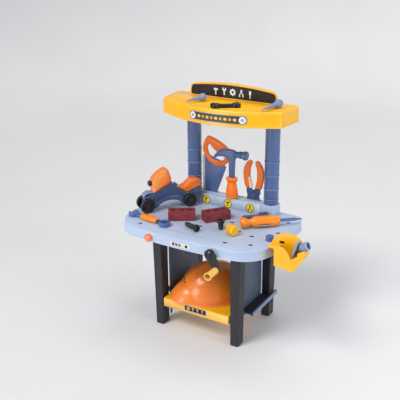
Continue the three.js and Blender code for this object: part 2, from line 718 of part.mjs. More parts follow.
const lyingGroup = placed(15.3, -141, DECK_TOP + GAP + 10.2, 156.8);
add('bolt_lying', bolt(6.5, 53, 10, 9).rotateY(Math.PI / 2 + 0.06).translate(0, 0, 0.4), black, lyingGroup);
const uprightGroup = placed(59, -92, DECK_TOP + GAP, 0);
add('bolt_upright', bolt(7.6, 27, 10.8, 8).rotateX(Math.PI).translate(0, 0, 27), black, uprightGroup);

const nutProfile = [
  [7, -12], [13.5, -12], [14.5, -11], [14.5, -8.5], [11.5, -7],
  [11.5, -5], [14.5, -3.5], [14.5, 0], [11.5, 1.5],
  [11.5, 3.5], [14.5, 5], [14.5, 9], [12.5, 12], [0, 12], [0, 4], [7, 4], [7, -12],
];
const nutGroup = placed(104, -111, DECK_TOP + GAP + 14.6, 69);
add('nut_yellow', alongY(turned(nutProfile, 24)), yellow, nutGroup);

const pegProfile = [
  [0, 0], [10.4, 0], [10.4, 5], [9.4, 6], [9.4, 7], [11, 8], [11, 11], [9.6, 12.6], [0, 12.6],
];
add('peg_blue', turned(pegProfile, 18), slateBlue, placed(204, -92, DECK_TOP + GAP));

// ---- pieces on the top shelf ------------------------------------------------------------------------
const screwProfile = [
  [0, 0], [1.5, 0], [6.5, 22], [7.5, 44], [10.5, 48], [10.5, 56], [8, 60], [0, 60],
];
const screwLeft = placed(-87, -30, SHELF_TOP + GAP + 4.4, 55);
add('top_screw_left', turned(screwProfile, 16).rotateY(Math.PI / 2 - 0.125), slateBlue, screwLeft);
const screwRight = placed(134, -23, SHELF_TOP + GAP + 4.4, 74);
const longScrew = turned(screwProfile, 16).scale(1, 1, 1.35).rotateY(Math.PI / 2 - 0.1);
add('top_screw_right', longScrew, slateBlue, screwRight);

function blackSpanner() {
  const ends = [-28, 28].map((x) => rod(12, 0, 11, 20).translate(x, 0, 0));
  const mouths = [-1, 1].map((side) =>
    block(0, 16, -5, 5, -1, 12).rotateZ(0.35).scale(side, side, 1).translate(side * 29, 0, 0));
  return cut(join(...ends, block(-26, 26, -6, 6, 1, 10)), ...mouths);
}

add('black_spanner', blackSpanner(), black, placed(32, -20, SHELF_TOP + GAP, 35));

// ---- scooter ----------------------------------------------------------------------------------------
const SCOOTER = { x: -191, y: -83.8, degrees: 54.2, front: 21, rear: 19.5, base: 129, track: 19.2, tyre: 11 };
const scooterGroup = placed(SCOOTER.x, SCOOTER.y, DECK_TOP + GAP, SCOOTER.degrees);

function scooterFrame() {
  const shape = outline([
    [-8, 28], [-7, 45], [16, 52], [34, 59], [48, 67], [62, 73], [70, 78], [79, 79], [84, 75], [92, 63],
    [99, 56.5],
    [122, 40.8], [164, 54], [168, 50], [166, 36], [150, 32], [141, 12], [129, 8], [116, 9], [104, 15],
    [90, 23], [74, 26], [56, 24], [42, 18], [30, 8], [16, 6], [2, 8],
  ]);
  const axleHoles = [[0, SCOOTER.front], [SCOOTER.base, SCOOTER.rear]].map(([x, z]) =>
    alongY(rod(3.3, -30, 30, 16)).translate(x, 0, z));
  return cut(prismY(shape, -13, 13), ...axleHoles);
}

function scooterFairing() {
  const shape = new THREE.Shape();
  shape.moveTo(20, 54.4);
  shape.lineTo(33.7, 59.6);
  shape.lineTo(47.7, 67.5);
  shape.lineTo(61.8, 73.6);
  shape.lineTo(70, 78.6);
  shape.lineTo(76, 90);
  shape.lineTo(69, 112);
  shape.quadraticCurveTo(64, 125, 52, 120);
  shape.quadraticCurveTo(26, 106, 19, 90);
  shape.lineTo(20, 54.4);
  const g = prismY(shape, -17, 17, 6);
  const p = g.attributes.position;
  for (let i = 0; i < p.count; i++) {
    const narrow = 1 - 0.35 * THREE.MathUtils.clamp((p.getZ(i) - 70) / 50, 0, 1);
    p.setY(i, p.getY(i) * narrow);
  }
  return g;
}

function scooterSeat() {
  const shape = new THREE.Shape();
  shape.moveTo(92.5, 64);
  shape.lineTo(99.4, 57);
  shape.lineTo(122, 41.4);
  shape.lineTo(164.5, 54.8);
  shape.quadraticCurveTo(172, 62, 165, 74);
  shape.quadraticCurveTo(150, 82, 132, 79);
  shape.quadraticCurveTo(118, 64, 108, 62);
  shape.quadraticCurveTo(98, 64, 93.5, 71);
  shape.lineTo(92.5, 64);
  const g = prismY(shape, -13, 13, 6);
  const p = g.attributes.position;
  for (let i = 0; i < p.count; i++) {
    const narrow = 1 - 0.35 * THREE.MathUtils.clamp((p.getX(i) - 150) / 20, 0, 1);
    p.setY(i, p.getY(i) * narrow);
  }
  return g;
}

function wheel(radius) {
  const half = SCOOTER.tyre / 2;
  return alongY(turned([
    [3.3, -half + 1], [radius - 6, -half + 1], [radius - 5, -half],
    [radius - 2, -half], [radius, -half + 2.5],
    [radius, half - 2.5], [radius - 2, half], [radius - 5, half], [radius - 6, half - 1], [3.3, half - 1],
    [3.3, -half + 1],
  ], 20));
}

add('scooter_frame', scooterFrame(), slateBlue, scooterGroup);
add('scooter_fairing', scooterFairing(), orange, scooterGroup);
add('scooter_seat', scooterSeat(), orange, scooterGroup);
const lampProfile = [[0, 0], [6, 0], [8.5, 2], [8.5, 7], [6, 9], [0, 9]];
const lamp = turned(lampProfile, 20).rotateY(Math.PI / 2).translate(9.3, 0, 81);
add('scooter_headlight', lamp, black, scooterGroup);
const fenderShape = outline([[-9, 46], [-4, 54], [8, 57.5], [18.5, 55.5], [18.5, 53.2], [-6.4, 45.6]]);
add('scooter_fender', prismY(fenderShape, -11, 11), silver, scooterGroup);

for (const [end, radius, x] of [['front', SCOOTER.front, 0], ['rear', SCOOTER.rear, SCOOTER.base]]) {
  const axle = alongY(rod(3, -26.5, 26.5, 16)).translate(x, 0, radius);
  add(`scooter_axle_${end}`, axle, silver, scooterGroup);
  for (const [side, y] of [['near', -SCOOTER.track], ['far', SCOOTER.track]]) {
    add(`scooter_wheel_${end}_${side}`, wheel(radius).translate(x, y, radius), black, scooterGroup);
  }
}

// ---- helmet -----------------------------------------------------------------------------------------
const HELMET = { x: 2, y: -30, degrees: 228, long: 104, wide: 85, high: 95, wall: 3, rim: 5 };
const helmetGroup = placed(HELMET.x, HELMET.y, LOWER_TOP + GAP, HELMET.degrees);

function dome(shrink) {
  const rings = 7;
  const profile = [[0, shrink ? -1 : 0]];
  if (shrink) profile.push([1, -1]);
  for (let i = 0; i <= rings; i++) {
    const turn = (i / rings) * (Math.PI / 2);
    profile.push([Math.cos(turn), Math.sin(turn)]);
  }
  profile[profile.length - 1][0] = 0;
  return turned(profile, 28).scale(HELMET.long - shrink, HELMET.wide - shrink, HELMET.high - shrink);
}

function helmet() {
  const rim = rod(1, 0, 4, 28).scale(HELMET.long + HELMET.rim, HELMET.wide + HELMET.rim, 1);
  const visorShape = new THREE.Shape();
  visorShape.moveTo(70, -62);
  visorShape.bezierCurveTo(108, -52, 131, -28, 131, 0);
  visorShape.bezierCurveTo(131, 28, 108, 52, 70, 62);
  visorShape.lineTo(70, -62);
  const peakSide = outline([[70, 0], [131, 0], [131, 4], [124, 16], [112, 28], [96, 38], [70, 46]]);
  const underSide = outline([[70, -1], [128, -1], [128, 1], [121, 13], [109, 25], [94, 34], [70, 42]]);
  const visor = keepInside(prismY(peakSide, -70, 70), prismZ(visorShape, 0, 50, 10));
  const innerShape = prismZ(visorShape, -1, 50, 10).translate(-70, 0, 0).scale(0.95, 0.95, 1);
  const below = keepInside(prismY(underSide, -70, 70), innerShape.translate(70, 0, 0));
  return cut(join(dome(0), rim, visor), below, dome(HELMET.wall));
}

add('helmet', helmet(), orange, helmetGroup);

// ---- origin: middle of the box, on the floor --------------------------------------------------------
root.updateMatrixWorld(true);
const bounds = new THREE.Box3().setFromObject(root, true);
const middle = bounds.getCenter(new THREE.Vector3());
root.position.set(-middle.x, -middle.y, -bounds.min.z);

export default root;
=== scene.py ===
"""The looks of a toy workbench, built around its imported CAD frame. Lengths in this script are millimetres."""

import json
from contextlib import contextmanager
from math import acos, atan2, ceil, copysign, cos, floor, inf, pi, radians, sin, sqrt

import bmesh
import bpy
from mathutils import Matrix, Vector

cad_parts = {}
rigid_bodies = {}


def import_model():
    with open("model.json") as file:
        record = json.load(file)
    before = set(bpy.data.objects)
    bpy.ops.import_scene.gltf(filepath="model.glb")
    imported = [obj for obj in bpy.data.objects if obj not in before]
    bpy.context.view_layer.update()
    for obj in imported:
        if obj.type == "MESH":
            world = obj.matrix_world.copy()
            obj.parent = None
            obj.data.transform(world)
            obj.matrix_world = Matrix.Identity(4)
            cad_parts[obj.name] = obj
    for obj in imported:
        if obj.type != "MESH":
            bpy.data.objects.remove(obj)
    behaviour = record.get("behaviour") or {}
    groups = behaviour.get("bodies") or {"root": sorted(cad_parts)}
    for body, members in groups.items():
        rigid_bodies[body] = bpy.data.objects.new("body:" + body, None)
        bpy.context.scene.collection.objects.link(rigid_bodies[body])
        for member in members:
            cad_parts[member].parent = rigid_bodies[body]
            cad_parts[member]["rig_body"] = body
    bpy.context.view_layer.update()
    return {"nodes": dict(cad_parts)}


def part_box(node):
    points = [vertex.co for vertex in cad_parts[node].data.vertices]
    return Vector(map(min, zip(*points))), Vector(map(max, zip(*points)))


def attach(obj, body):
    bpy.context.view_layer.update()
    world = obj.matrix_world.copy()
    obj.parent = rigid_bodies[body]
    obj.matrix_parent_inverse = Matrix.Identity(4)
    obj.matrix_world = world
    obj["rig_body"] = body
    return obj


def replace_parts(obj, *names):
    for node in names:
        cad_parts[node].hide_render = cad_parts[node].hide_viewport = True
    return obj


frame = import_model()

# ---- the workbench's own axes: x = 0 is its middle plane, z = 0 the floor ----
MM = 0.001
DECK_LIP_BACK = 101.5
deck_low, deck_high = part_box("worktop")
ORIGIN = Vector(((deck_low.x + deck_high.x) / 2, deck_high.y - DECK_LIP_BACK * MM, 0))
TO_FRAME = Matrix.Translation(ORIGIN) @ Matrix.Diagonal((MM, MM, MM, 1))
NODE_BODY = {name: node["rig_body"] for name, node in frame["nodes"].items()}
TURN = 2 * pi


def middle(node):
    """The middle of a CAD node's box, in millimetres in the workbench's axes."""
    low_corner, high_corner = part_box(node)
    return ((low_corner + high_corner) / 2 - ORIGIN) / MM


def low(node):
    return (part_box(node)[0] - ORIGIN) / MM


def high(node):
    return (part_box(node)[1] - ORIGIN) / MM


def turn(degrees, axis="Z"):
    return Matrix.Rotation(radians(degrees), 4, axis)


def shift(x, y, z):
    return Matrix.Translation((x, y, z))


def scaled(x, y, z):
    return Matrix.Diagonal((x, y, z, 1))


def placed(x, y, z, degrees=0.0):
    return shift(x, y, z) @ turn(degrees)


UPRIGHT = turn(90, "X")
ALONG_X = turn(90, "Y")
UPSIDE_DOWN = turn(180, "X")


# ---- outlines and meshes ----
SAME_POINT = 1e-6
SAME_VERTEX = 1e-4
SHARE_OF_SIDE = 0.49
SHARE_OF_PILL = 0.48
TIP_RADIUS = 0.02


def around(count):
    """The angles of that many even steps round a circle."""
    return [TURN * i / count for i in range(count)]


def path(start, *pieces, steps=12):
    """A closed outline. A piece of one point is a line, of two a quadratic curve, of three a cubic one."""
    points = [Vector(start)]
    for piece in pieces:
        ends = [points[-1]] + [Vector(p) for p in piece]
        count = 1 if len(ends) == 2 else steps
        for i in range(1, count + 1):
            level = ends
            while len(level) > 1:
                level = [a.lerp(b, i / count) for a, b in zip(level, level[1:])]
            points.append(level[0])
    if (points[0] - points[-1]).length < SAME_POINT:
        points.pop()
    return points


def corners(*points):
    return [Vector(p) for p in points]


def rounded(points, radius, steps=4, closed=True):
    """The outline with each corner replaced by a short curve."""
    out = []
    count = len(points)
    for i, p in enumerate(points):
        if not closed and i in (0, count - 1):
            out.append(Vector(p))
            continue
        before, after = points[i - 1] - p, points[(i + 1) % count] - p
        a = before.normalized() * min(radius, before.length * SHARE_OF_SIDE)
        b = after.normalized() * min(radius, after.length * SHARE_OF_SIDE)
        for k in range(steps + 1):
            t = k / steps
            out.append(p + a * (1 - t) ** 2 + b * t ** 2)
    return out


def oblong(x0, x1, y0, y1, radius, steps=4):
    """A rectangle with rounded corners."""
    return rounded(corners((x0, y0), (x1, y0), (x1, y1), (x0, y1)), radius, steps)


def pill(x0, x1, y0, y1):
    """A bar with round ends."""
    return oblong(x0, x1, y0, y1, (y1 - y0) * SHARE_OF_PILL, 8)


def spline_loop(points, steps=6):
    """A smooth closed curve through the points."""
    out = []
    count = len(points)
    for i in range(count):
        p0, p1, p2, p3 = (Vector(points[(i + k - 1) % count]) for k in range(4))
        for s in range(steps):
            t = s / steps
            out.append(0.5 * (2 * p1 + (p2 - p0) * t + (2 * p0 - 5 * p1 + 4 * p2 - p3) * t ** 2
                              + (3 * p1 - p0 - 3 * p2 + p3) * t ** 3))
    return out


def circle(radius, centre=(0, 0), count=40, stretch=1.0):
    x, y = centre
    return [Vector((x + radius * cos(a), y + radius * stretch * sin(a))) for a in around(count)]


def mesh_of(points, faces):
    mesh = bpy.data.meshes.new("shape")
    mesh.from_pydata([tuple(p) for p in points], [], faces)
    mesh.validate()
    return mesh


def loft(loops, ring=False, caps=True):
    """A skin through loops with equal numbers of points. A ring closes on its first loop."""
    count = len(loops[0])
    faces = []
    for i in range(len(loops) if ring else len(loops) - 1):
        a, b = i * count, ((i + 1) % len(loops)) * count
        faces += [(a + j, a + (j + 1) % count, b + (j + 1) % count, b + j) for j in range(count)]
    if caps and not ring:
        last = (len(loops) - 1) * count
        faces.append(tuple(reversed(range(count))))
        faces.append(tuple(last + j for j in range(count)))
    return mesh_of([p for loop in loops for p in loop], faces)


def turned(profile, count=64, edge=0.8, ring=False, shape=None):
    """A (radius, height) profile turned about Z, its corners rounded. shape(angle, r, z) scales it."""
    line = corners(*profile)
    if edge:
        line = rounded(line, edge, 3, closed=ring)
    loops = []
    for r, z in line:
        loop = []
        for a in around(count):
            radius = max(r, TIP_RADIUS) * (shape(a, r, z) if shape else 1)
            loop.append((radius * cos(a), radius * sin(a), z))
        loops.append(loop)
    return loft(loops, ring)


def knurled(depth, count, inner):
    """A shape for turned: soft waves outside a radius."""
    return lambda a, r, z: 1 - depth * (r > inner) * (0.5 + 0.5 * cos(count * a))


def grooved(depth, count, inner, outer=inf, bottom=-inf, top=inf, power=1):
    """A shape for turned: separate grooves between two radii and two heights."""
    def shape(a, r, z):
        here = inner < r < outer and bottom < z < top
        return 1 - depth * here * max(0, cos(count * a)) ** power
    return shape


def threaded(radius, z0, z1, pitch, depth, taper=0.0, count=48):
    """A shank with one helical thread; taper shrinks the radius towards z1."""
    steps = max(2, round((z1 - z0) / pitch * 10))
    loops = []
    for k in range(steps + 1):
        z = z0 + (z1 - z0) * k / steps
        fade = min(1.0, (z - z0) / pitch, (z1 - z) / pitch)
        loop = []
        for a in around(count):
            wave = 0.5 + 0.5 * cos(TURN * z / pitch - a)
            r = radius * (1 - taper * (z - z0) / (z1 - z0)) - depth * (1 - wave ** 1.5 * fade)
            loop.append((r * cos(a), r * sin(a), z))
        loops.append(loop)
    return loft(loops)


def object_of(mesh):
    made = bpy.data.objects.new("work", mesh)
    bpy.context.scene.collection.objects.link(made)
    return made


def applied(work, *others):
    """The mesh that an object's modifiers make; the working objects go."""
    bpy.context.view_layer.update()
    mesh = bpy.data.meshes.new_from_object(work.evaluated_get(bpy.context.evaluated_depsgraph_get()))
    for o in (work, *others):
        bpy.data.objects.remove(o)
    return mesh


def combined(mesh, operation, others):
    for other in others:
        work, partner = object_of(mesh), object_of(other)
        boolean = work.modifiers.new("combine", "BOOLEAN")
        boolean.object = partner
        boolean.operation = operation
        boolean.solver = "EXACT"
        boolean.use_self = False
        mesh = applied(work, partner)
    return mesh


def carved(mesh, *cutters):
    return combined(mesh, "DIFFERENCE", cutters)


def fused(mesh, *others):
    return combined(mesh, "UNION", others)


def moved(mesh, *matrices):
    for matrix in matrices:
        mesh.transform(matrix)
        if matrix.determinant() < 0:
            mesh.flip_normals()
    return mesh


@contextmanager
def editing(mesh):
    """Lends a mesh as a bmesh and writes the changes back."""
    bm = bmesh.new()
    bm.from_mesh(mesh)
    yield bm
    bm.to_mesh(mesh)
    bm.free()


def merged(*meshes):
    """One mesh that holds the separate shells of several."""
    out = bpy.data.meshes.new("shape")
    with editing(out) as bm:
        for mesh in meshes:
            bm.from_mesh(mesh)
    return out


def plate(loops, z0, z1, edge=0.6):
    """A flat piece with rounded rims: the first loop is its outline, the others are holes."""
    curve = bpy.data.curves.new("plate", "CURVE")
    curve.dimensions = "2D"
    curve.fill_mode = "BOTH"
    half = (z1 - z0) / 2
    edge = min(edge, half * 0.98)
    curve.extrude = half - edge
    curve.bevel_depth = edge
    curve.bevel_resolution = 3
    curve.offset = -edge
    for loop in loops:
        line = curve.splines.new("POLY")
        line.points.add(len(loop) - 1)
        for point, p in zip(line.points, loop):
            point.co = (p[0], p[1], 0, 1)
        line.use_cyclic_u = True
    mesh = applied(object_of(curve))
    with editing(mesh) as bm:
        bmesh.ops.remove_doubles(bm, verts=bm.verts, dist=SAME_VERTEX)
    return moved(mesh, shift(0, 0, (z0 + z1) / 2))


def upright(loops, y0, y1, edge=0.6):
    """A plate of front outlines (x, z) that runs from y0 to y1."""
    return moved(plate(loops, -y1, -y0, edge), UPRIGHT)


def slab(outline, half, edge, y=0.0):
    """An upright plate that reaches as far to the front of y as to its back."""
    return upright([outline], y - half, y + half, edge)


def box(x0, x1, y0, y1, z0, z1, edge=1.0):
    return plate([oblong(x0, x1, y0, y1, edge * 1.5)], z0, z1, edge)


def tube(points, radius, sides=12):
    """A round bar along a line of points, with flat ends."""
    line = [Vector(p) for p in points]
    loops = []
    side = None
    for i, p in enumerate(line):
        along = (line[min(i + 1, len(line) - 1)] - line[max(i - 1, 0)]).normalized()
        if side is None:
            side = along.orthogonal().normalized()
        side = (side - along * side.dot(along)).normalized()
        other = along.cross(side)
        loops.append([p + radius * (side * cos(a) + other * sin(a)) for a in around(sides)])
    return loft(loops)


def link(a, b, ra, rb, steps=14):
    """The outline of a bar with round ends of two sizes."""
    along = b - a
    tilt = acos((ra - rb) / along.length)
    heading = atan2(along.y, along.x)
    ends = ((a, ra, heading + tilt, heading + TURN - tilt), (b, rb, heading - tilt, heading + tilt))
    points = []
    for centre, radius, first, last in ends:
        for k in range(steps + 1):
            angle = first + (last - first) * k / steps
            points.append(centre + radius * Vector((cos(angle), sin(angle))))
    return points


def bent(mesh, depth, spacing=5):
    """Cuts a mesh across X every few millimetres and moves each point in Y by depth(x)."""
    with editing(mesh) as bm:
        xs = [v.co.x for v in bm.verts]
        for k in range(ceil(min(xs) / spacing), floor(max(xs) / spacing) + 1):
            parts = bm.verts[:] + bm.edges[:] + bm.faces[:]
            bmesh.ops.bisect_plane(bm, geom=parts, plane_co=(k * spacing, 0, 0), plane_no=(1, 0, 0))
        for v in bm.verts:
            v.co.y += depth(v.co.x)
    return mesh


def skin(outline, profile):
    """A closed shell whose section is the profile of (inset, height), carried round the outline."""
    return loft([[(*p, z) for p in outline(inset)] for inset, z in profile])


# ---- materials ----
def linear(color):
    """Linear light from a colour written as six hexadecimal digits."""
    values = [int(color[i:i + 2], 16) / 255 for i in (0, 2, 4)]
    return tuple(v / 12.92 if v < 0.04045 else ((v + 0.055) / 1.055) ** 2.4 for v in values) + (1.0,)


def shade(color, factor):
    return tuple(min(1.0, c * factor) for c in color[:3]) + (1.0,)


class Nodes:
    """A material's node tree, with short calls to add to it."""

    def __init__(self, name):
        self.material = bpy.data.materials.new(name)
        self.material.use_nodes = True
        self.tree = self.material.node_tree
        self.shader = self.tree.nodes["Principled BSDF"]
        self.place = self.tree.nodes.new("ShaderNodeTexCoord").outputs["Object"]

    def feed(self, node, inputs):
        """Gives a node's inputs their values or links them to other nodes' outputs."""
        for key, value in inputs.items():
            if isinstance(value, bpy.types.NodeSocket):
                self.tree.links.new(value, node.inputs[key])
            else:
                node.inputs[key].default_value = value
        return node

    def add(self, kind, inputs):
        return self.feed(self.tree.nodes.new("ShaderNode" + kind), inputs)

    def noise(self, scale, detail=4.0, stretch=None):
        place = self.place
        if stretch:
            place = self.add("Mapping", {"Scale": stretch, "Vector": place}).outputs["Vector"]
        return self.add("TexNoise", {"Scale": scale, "Detail": detail, "Vector": place}).outputs["Fac"]

    def spread(self, value, low, high, to_low, to_high):
        ends = {"Value": value, "From Min": low, "From Max": high, "To Min": to_low, "To Max": to_high}
        return self.add("MapRange", ends).outputs["Result"]

    def mix(self, factor, a, b):
        """The colour between a and b; a Mix node's colour sockets are its inputs 6 and 7."""
        node = self.add("Mix", {})
        node.data_type = "RGBA"
        return self.feed(node, {"Factor": factor, 6: a, 7: b}).outputs[2]

    def bump(self, height, strength, distance):
        inputs = {"Strength": strength, "Distance": distance, "Height": height}
        return self.add("Bump", inputs).outputs["Normal"]


def plastic(name, color, rough, grain, grain_size, mottle, edge_wear_and_highlight, coat=0.0):
    """Moulded plastic: uneven pigment, fine grain, pale edges (rubbed wear and painted highlight), smeared
    gloss.
    """
    n = Nodes(name)
    tone = linear(color)
    cloud = n.spread(n.noise(9.0, 3.0), 0.35, 0.65, 0.0, 1.0)
    body = n.mix(cloud, shade(tone, 1 - mottle), shade(tone, 1 + mottle))
    streak = n.spread(n.noise(30.0, 5.0, (1.0, 1.0, 0.15)), 0.55, 0.75, 0.0, 0.5)
    body = n.mix(streak, body, shade(tone, 1 + mottle * 1.6))
    # Pale sharp edges: partly rubbed wear, partly a painted highlight where edges catch the light.
    point = n.add("NewGeometry", {}).outputs["Pointiness"]
    rim = n.spread(point, 0.52, 0.60, 0.0, edge_wear_and_highlight)
    worn_and_lit_edge_tint = tuple(c * 0.6 + 0.4 * max(tone[:3]) for c in tone[:3]) + (1.0,)
    n.feed(n.shader, {
        "Base Color": n.mix(rim, body, worn_and_lit_edge_tint),
        "Roughness": n.spread(n.noise(45.0, 6.0), 0.3, 0.7, rough - 0.05, rough + 0.10),
        "Normal": n.bump(n.noise(1000.0 / grain_size, 2.0), grain, 0.0004),
        "Coat Weight": coat,
        "Coat Roughness": 0.12,
    })
    return n.material


def foil(name, color, rough=0.35, mottle=0.05, coat=0.0, grain=0.03):
    """Printed foil: a flat colour with no pale edges, neither worn nor painted highlight."""
    return plastic(name, color, rough, grain, 1.0, mottle, 0.0, coat)


def rough_brick(name, color, dark):
    """Dull brick-coloured plastic with a pitted, mottled moulding."""
    n = Nodes(name)
    relief = n.noise(320.0, 6.0)
    pits = n.spread(relief, 0.4, 0.62, 0.0, 1.0)
    tone = n.mix(n.spread(n.noise(40.0, 4.0), 0.35, 0.65, 0.0, 1.0), linear(dark), linear(color))
    n.feed(n.shader, {
        "Base Color": n.mix(pits, tone, shade(linear(dark), 0.75)),
        "Roughness": 0.6,
        "Normal": n.bump(relief, 0.6, 0.0008),
    })
    return n.material


def silver(name):
    """Brushed silver paint."""
    n = Nodes(name)
    tone = linear("c8ccd4")
    n.feed(n.shader, {
        "Base Color": n.mix(n.noise(60.0), shade(tone, 0.9), tone),
        "Metallic": 0.85,
        "Roughness": n.spread(n.noise(200.0, 5.0, (1, 1, 0.1)), 0.3, 0.7, 0.18, 0.34),
    })
    return n.material


# Each plastic: colour, roughness, strength and size of its grain, mottle, pale edges (wear and painted
# highlight), clear coat.
PLASTICS = {
    "deck": ("b3c4dd", 0.42, 0.35, 1.6, 0.04, 0.35),
    "slate_blue": ("4a6698", 0.30, 0.12, 1.0, 0.07, 0.35, 0.2),
    "dark_slate": ("3c5078", 0.30, 0.12, 1.0, 0.07, 0.45, 0.2),
    "shadow_slate": ("3e4a64", 0.60, 0.10, 1.0, 0.05, 0.0),
    "grey_blue": ("7d90b4", 0.34, 0.14, 1.0, 0.06, 0.30, 0.2),
    "pale_blue": ("c9d6ec", 0.38, 0.20, 1.4, 0.03, 0.20),
    "yellow": ("fdb906", 0.32, 0.10, 1.0, 0.05, 0.30, 0.2),
    "straw_yellow": ("f3c35a", 0.40, 0.10, 1.0, 0.05, 0.20),
    "orange": ("f97a10", 0.32, 0.12, 1.0, 0.06, 0.35, 0.2),
    "light_orange": ("fba03c", 0.36, 0.12, 1.0, 0.06, 0.30, 0.1),
    "helmet": ("ee7e26", 0.28, 0.08, 1.0, 0.06, 0.30, 0.3),
    "amber": ("fa8c0c", 0.34, 0.12, 1.0, 0.06, 0.35, 0.2),
    "coral": ("ee7a5c", 0.38, 0.10, 1.0, 0.05, 0.30),
    # Cream is a painted highlight, used only on the pliers' left grip.
    "highlight_cream": ("f6e8c4", 0.40, 0.08, 1.0, 0.03, 0.0),
    "black": ("0b0c10", 0.30, 0.12, 1.0, 0.10, 0.06, 0.2),
    "tyre": ("0e0f12", 0.36, 0.25, 1.4, 0.10, 0.08),
    "charcoal": ("23262c", 0.48, 0.35, 1.4, 0.06, 0.20),
    # The end panels' colour is the legs' charcoal painted lighter, a painted light for the lit ends of the
    # bench.
    "panel": ("4c5a6c", 0.50, 0.35, 1.4, 0.06, 0.20),
}
FINISHES = {name: plastic(f"{name}_plastic", *values) for name, values in PLASTICS.items()}
FINISHES.update({
    "brick": rough_brick("brick_plastic", "a33c42", "7a2c32"),
    "silver": silver("silver_plastic"),
    "black_foil": foil("black_foil", "0c0d10", 0.55),
    "white_foil": foil("white_foil", "eef0f2", mottle=0.02),
    "yellow_foil": foil("yellow_foil", "f8dc1e", 0.32, 0.03, 0.2),
    "brown_foil": foil("brown_foil", "4a3410"),
    "olive_foil": foil("olive_foil", "41381a", 0.30, 0.08, 0.3),
    "red_foil": foil("red_foil", "a8322c", 0.32),
    "blue_foil": foil("blue_foil", "3c6fb8", 0.32),
    "grey_foil": foil("grey_foil", "a9b0ba", grain=0.05),
})


# ---- pieces in the frame ----
SHARP_EDGE = 35
WELD_DISTANCE = 0.01 * MM


def show(name, mesh, finish, node, smooth=40):
    """Makes a piece that rides on the body of a CAD node. Edges sharper than smooth degrees stay sharp."""
    mesh.transform(TO_FRAME)
    with editing(mesh) as bm:
        bmesh.ops.recalc_face_normals(bm, faces=bm.faces)
    mesh.shade_smooth()
    mesh.set_sharp_from_angle(angle=radians(smooth))
    mesh.materials.clear()
    mesh.materials.append(FINISHES[finish])
    mesh.name = name
    made = object_of(mesh)
    made.name = name
    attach(made, NODE_BODY[node])
    return made


def remade(name, mesh, finish, node, smooth=40):
    """Makes the piece that stands for a CAD node."""
    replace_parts(show(name, mesh, finish, node, smooth), node)


def refined(node, finish, width):
    """A CAD node that keeps its mesh and gets a finish and rounded edges of that width."""
    piece = frame["nodes"][node]
    piece.data.materials.clear()
    piece.data.materials.append(FINISHES[finish])
    weld = piece.modifiers.new("weld", "WELD")
    weld.merge_threshold = WELD_DISTANCE
    bevel = piece.modifiers.new("edges", "BEVEL")
    bevel.width = width * MM
    bevel.segments = 3
    bevel.limit_method = "ANGLE"
    bevel.angle_limit = radians(SHARP_EDGE)
    bevel.harden_normals = True
    piece.data.shade_smooth()


# ---- worktop ----
DECK_TOP = 324
DECK_FRONT = -196
DECK_BOW = 8
DECK_FLAT = 150
ON_DECK = DECK_TOP + 0.3
DECK_HOLES = [
    (152, -91), (174, -140), (202, -38), (62, -34), (0, -100), (-152, -165), (-40, 20), (107, -77),
    (-60, -60), (196, 40), (-196, 40), (110, -160),
]
SLIT = placed(-4, -164, 0, -0.87)
CRANK_HUB = Vector((95, 307))


def deck_outline(inset):
    side, front, back, flat = 227 - inset, DECK_FRONT + inset, 100 - inset, 188 - inset
    return path(
        (-DECK_FLAT, front), [(0, front - 2 * DECK_BOW), (DECK_FLAT, front)],
        [(188, front + 4), (side, front + 34), (side, front + 98)], [(side, 40)],
        [(side, 74), (side - 14, back), (flat, back)], [(-flat, back)],
        [(14 - side, back), (-side, 74), (-side, 40)], [(-side, front + 98)],
        [(-side, front + 34), (-188, front + 4), (-DECK_FLAT, front)], steps=16)


def deck_edge(x):
    """Where the front of the skirt lies at x."""
    return DECK_FRONT - DECK_BOW * (1 - (x / DECK_FLAT) ** 2)


def at_holes(profile):
    return [moved(turned(profile, 28, 0), shift(x, y, 0)) for x, y in DECK_HOLES]


def worktop():
    section = [
        (3.5, 320), (3.5, 297.5), (3.0, 297), (-1.0, 297), (-1.5, 297.5), (-1.5, 299.9), (-1.1, 300.5),
        (-0.2, 300.9), (0, 301.4), (0, 320.8), (0.3, 322.4), (1.0, 323.4), (2.6, DECK_TOP),
    ]
    pits = at_holes([(0, 321), (6, 321), (6, 323.2), (7, 324.2), (7, 325.5), (0, 325.5)])
    slit = moved(box(-66, 66, -0.9, 0.9, 322.6, 326, 0.3), SLIT)
    remade("worktop_shell", carved(skin(deck_outline, section), merged(*pits, slit)), "deck", "worktop")
    # Painted shade: dark discs just under the deck in each hole and the slit, where the dark hollow would show.
    hole_shades = at_holes([(0, 321.1), (5.9, 321.1), (5.9, 322.4), (0, 322.2)])
    line = moved(box(-65.8, 65.8, -0.8, 0.8, 321.5, 323.2, 0), SLIT)
    show("deck_hole_painted_shade", merged(*hole_shades, line), "shadow_slate", "worktop")
    knob = middle("skirt_knob").x
    edge = deck_edge(knob)
    show("knob_boss", box(knob - 13, knob + 15, edge - 3, edge + 4, 297.6, 322, 1.6), "pale_blue", "worktop")
    boss = turned([(0, -8), (9, -8), (9, -0.3), (0, -0.3)], 40, 0.6)
    place = shift(CRANK_HUB.x, high("crank_arm").y, CRANK_HUB.y)
    show("crank_boss", moved(boss, UPRIGHT, place), "deck", "worktop")


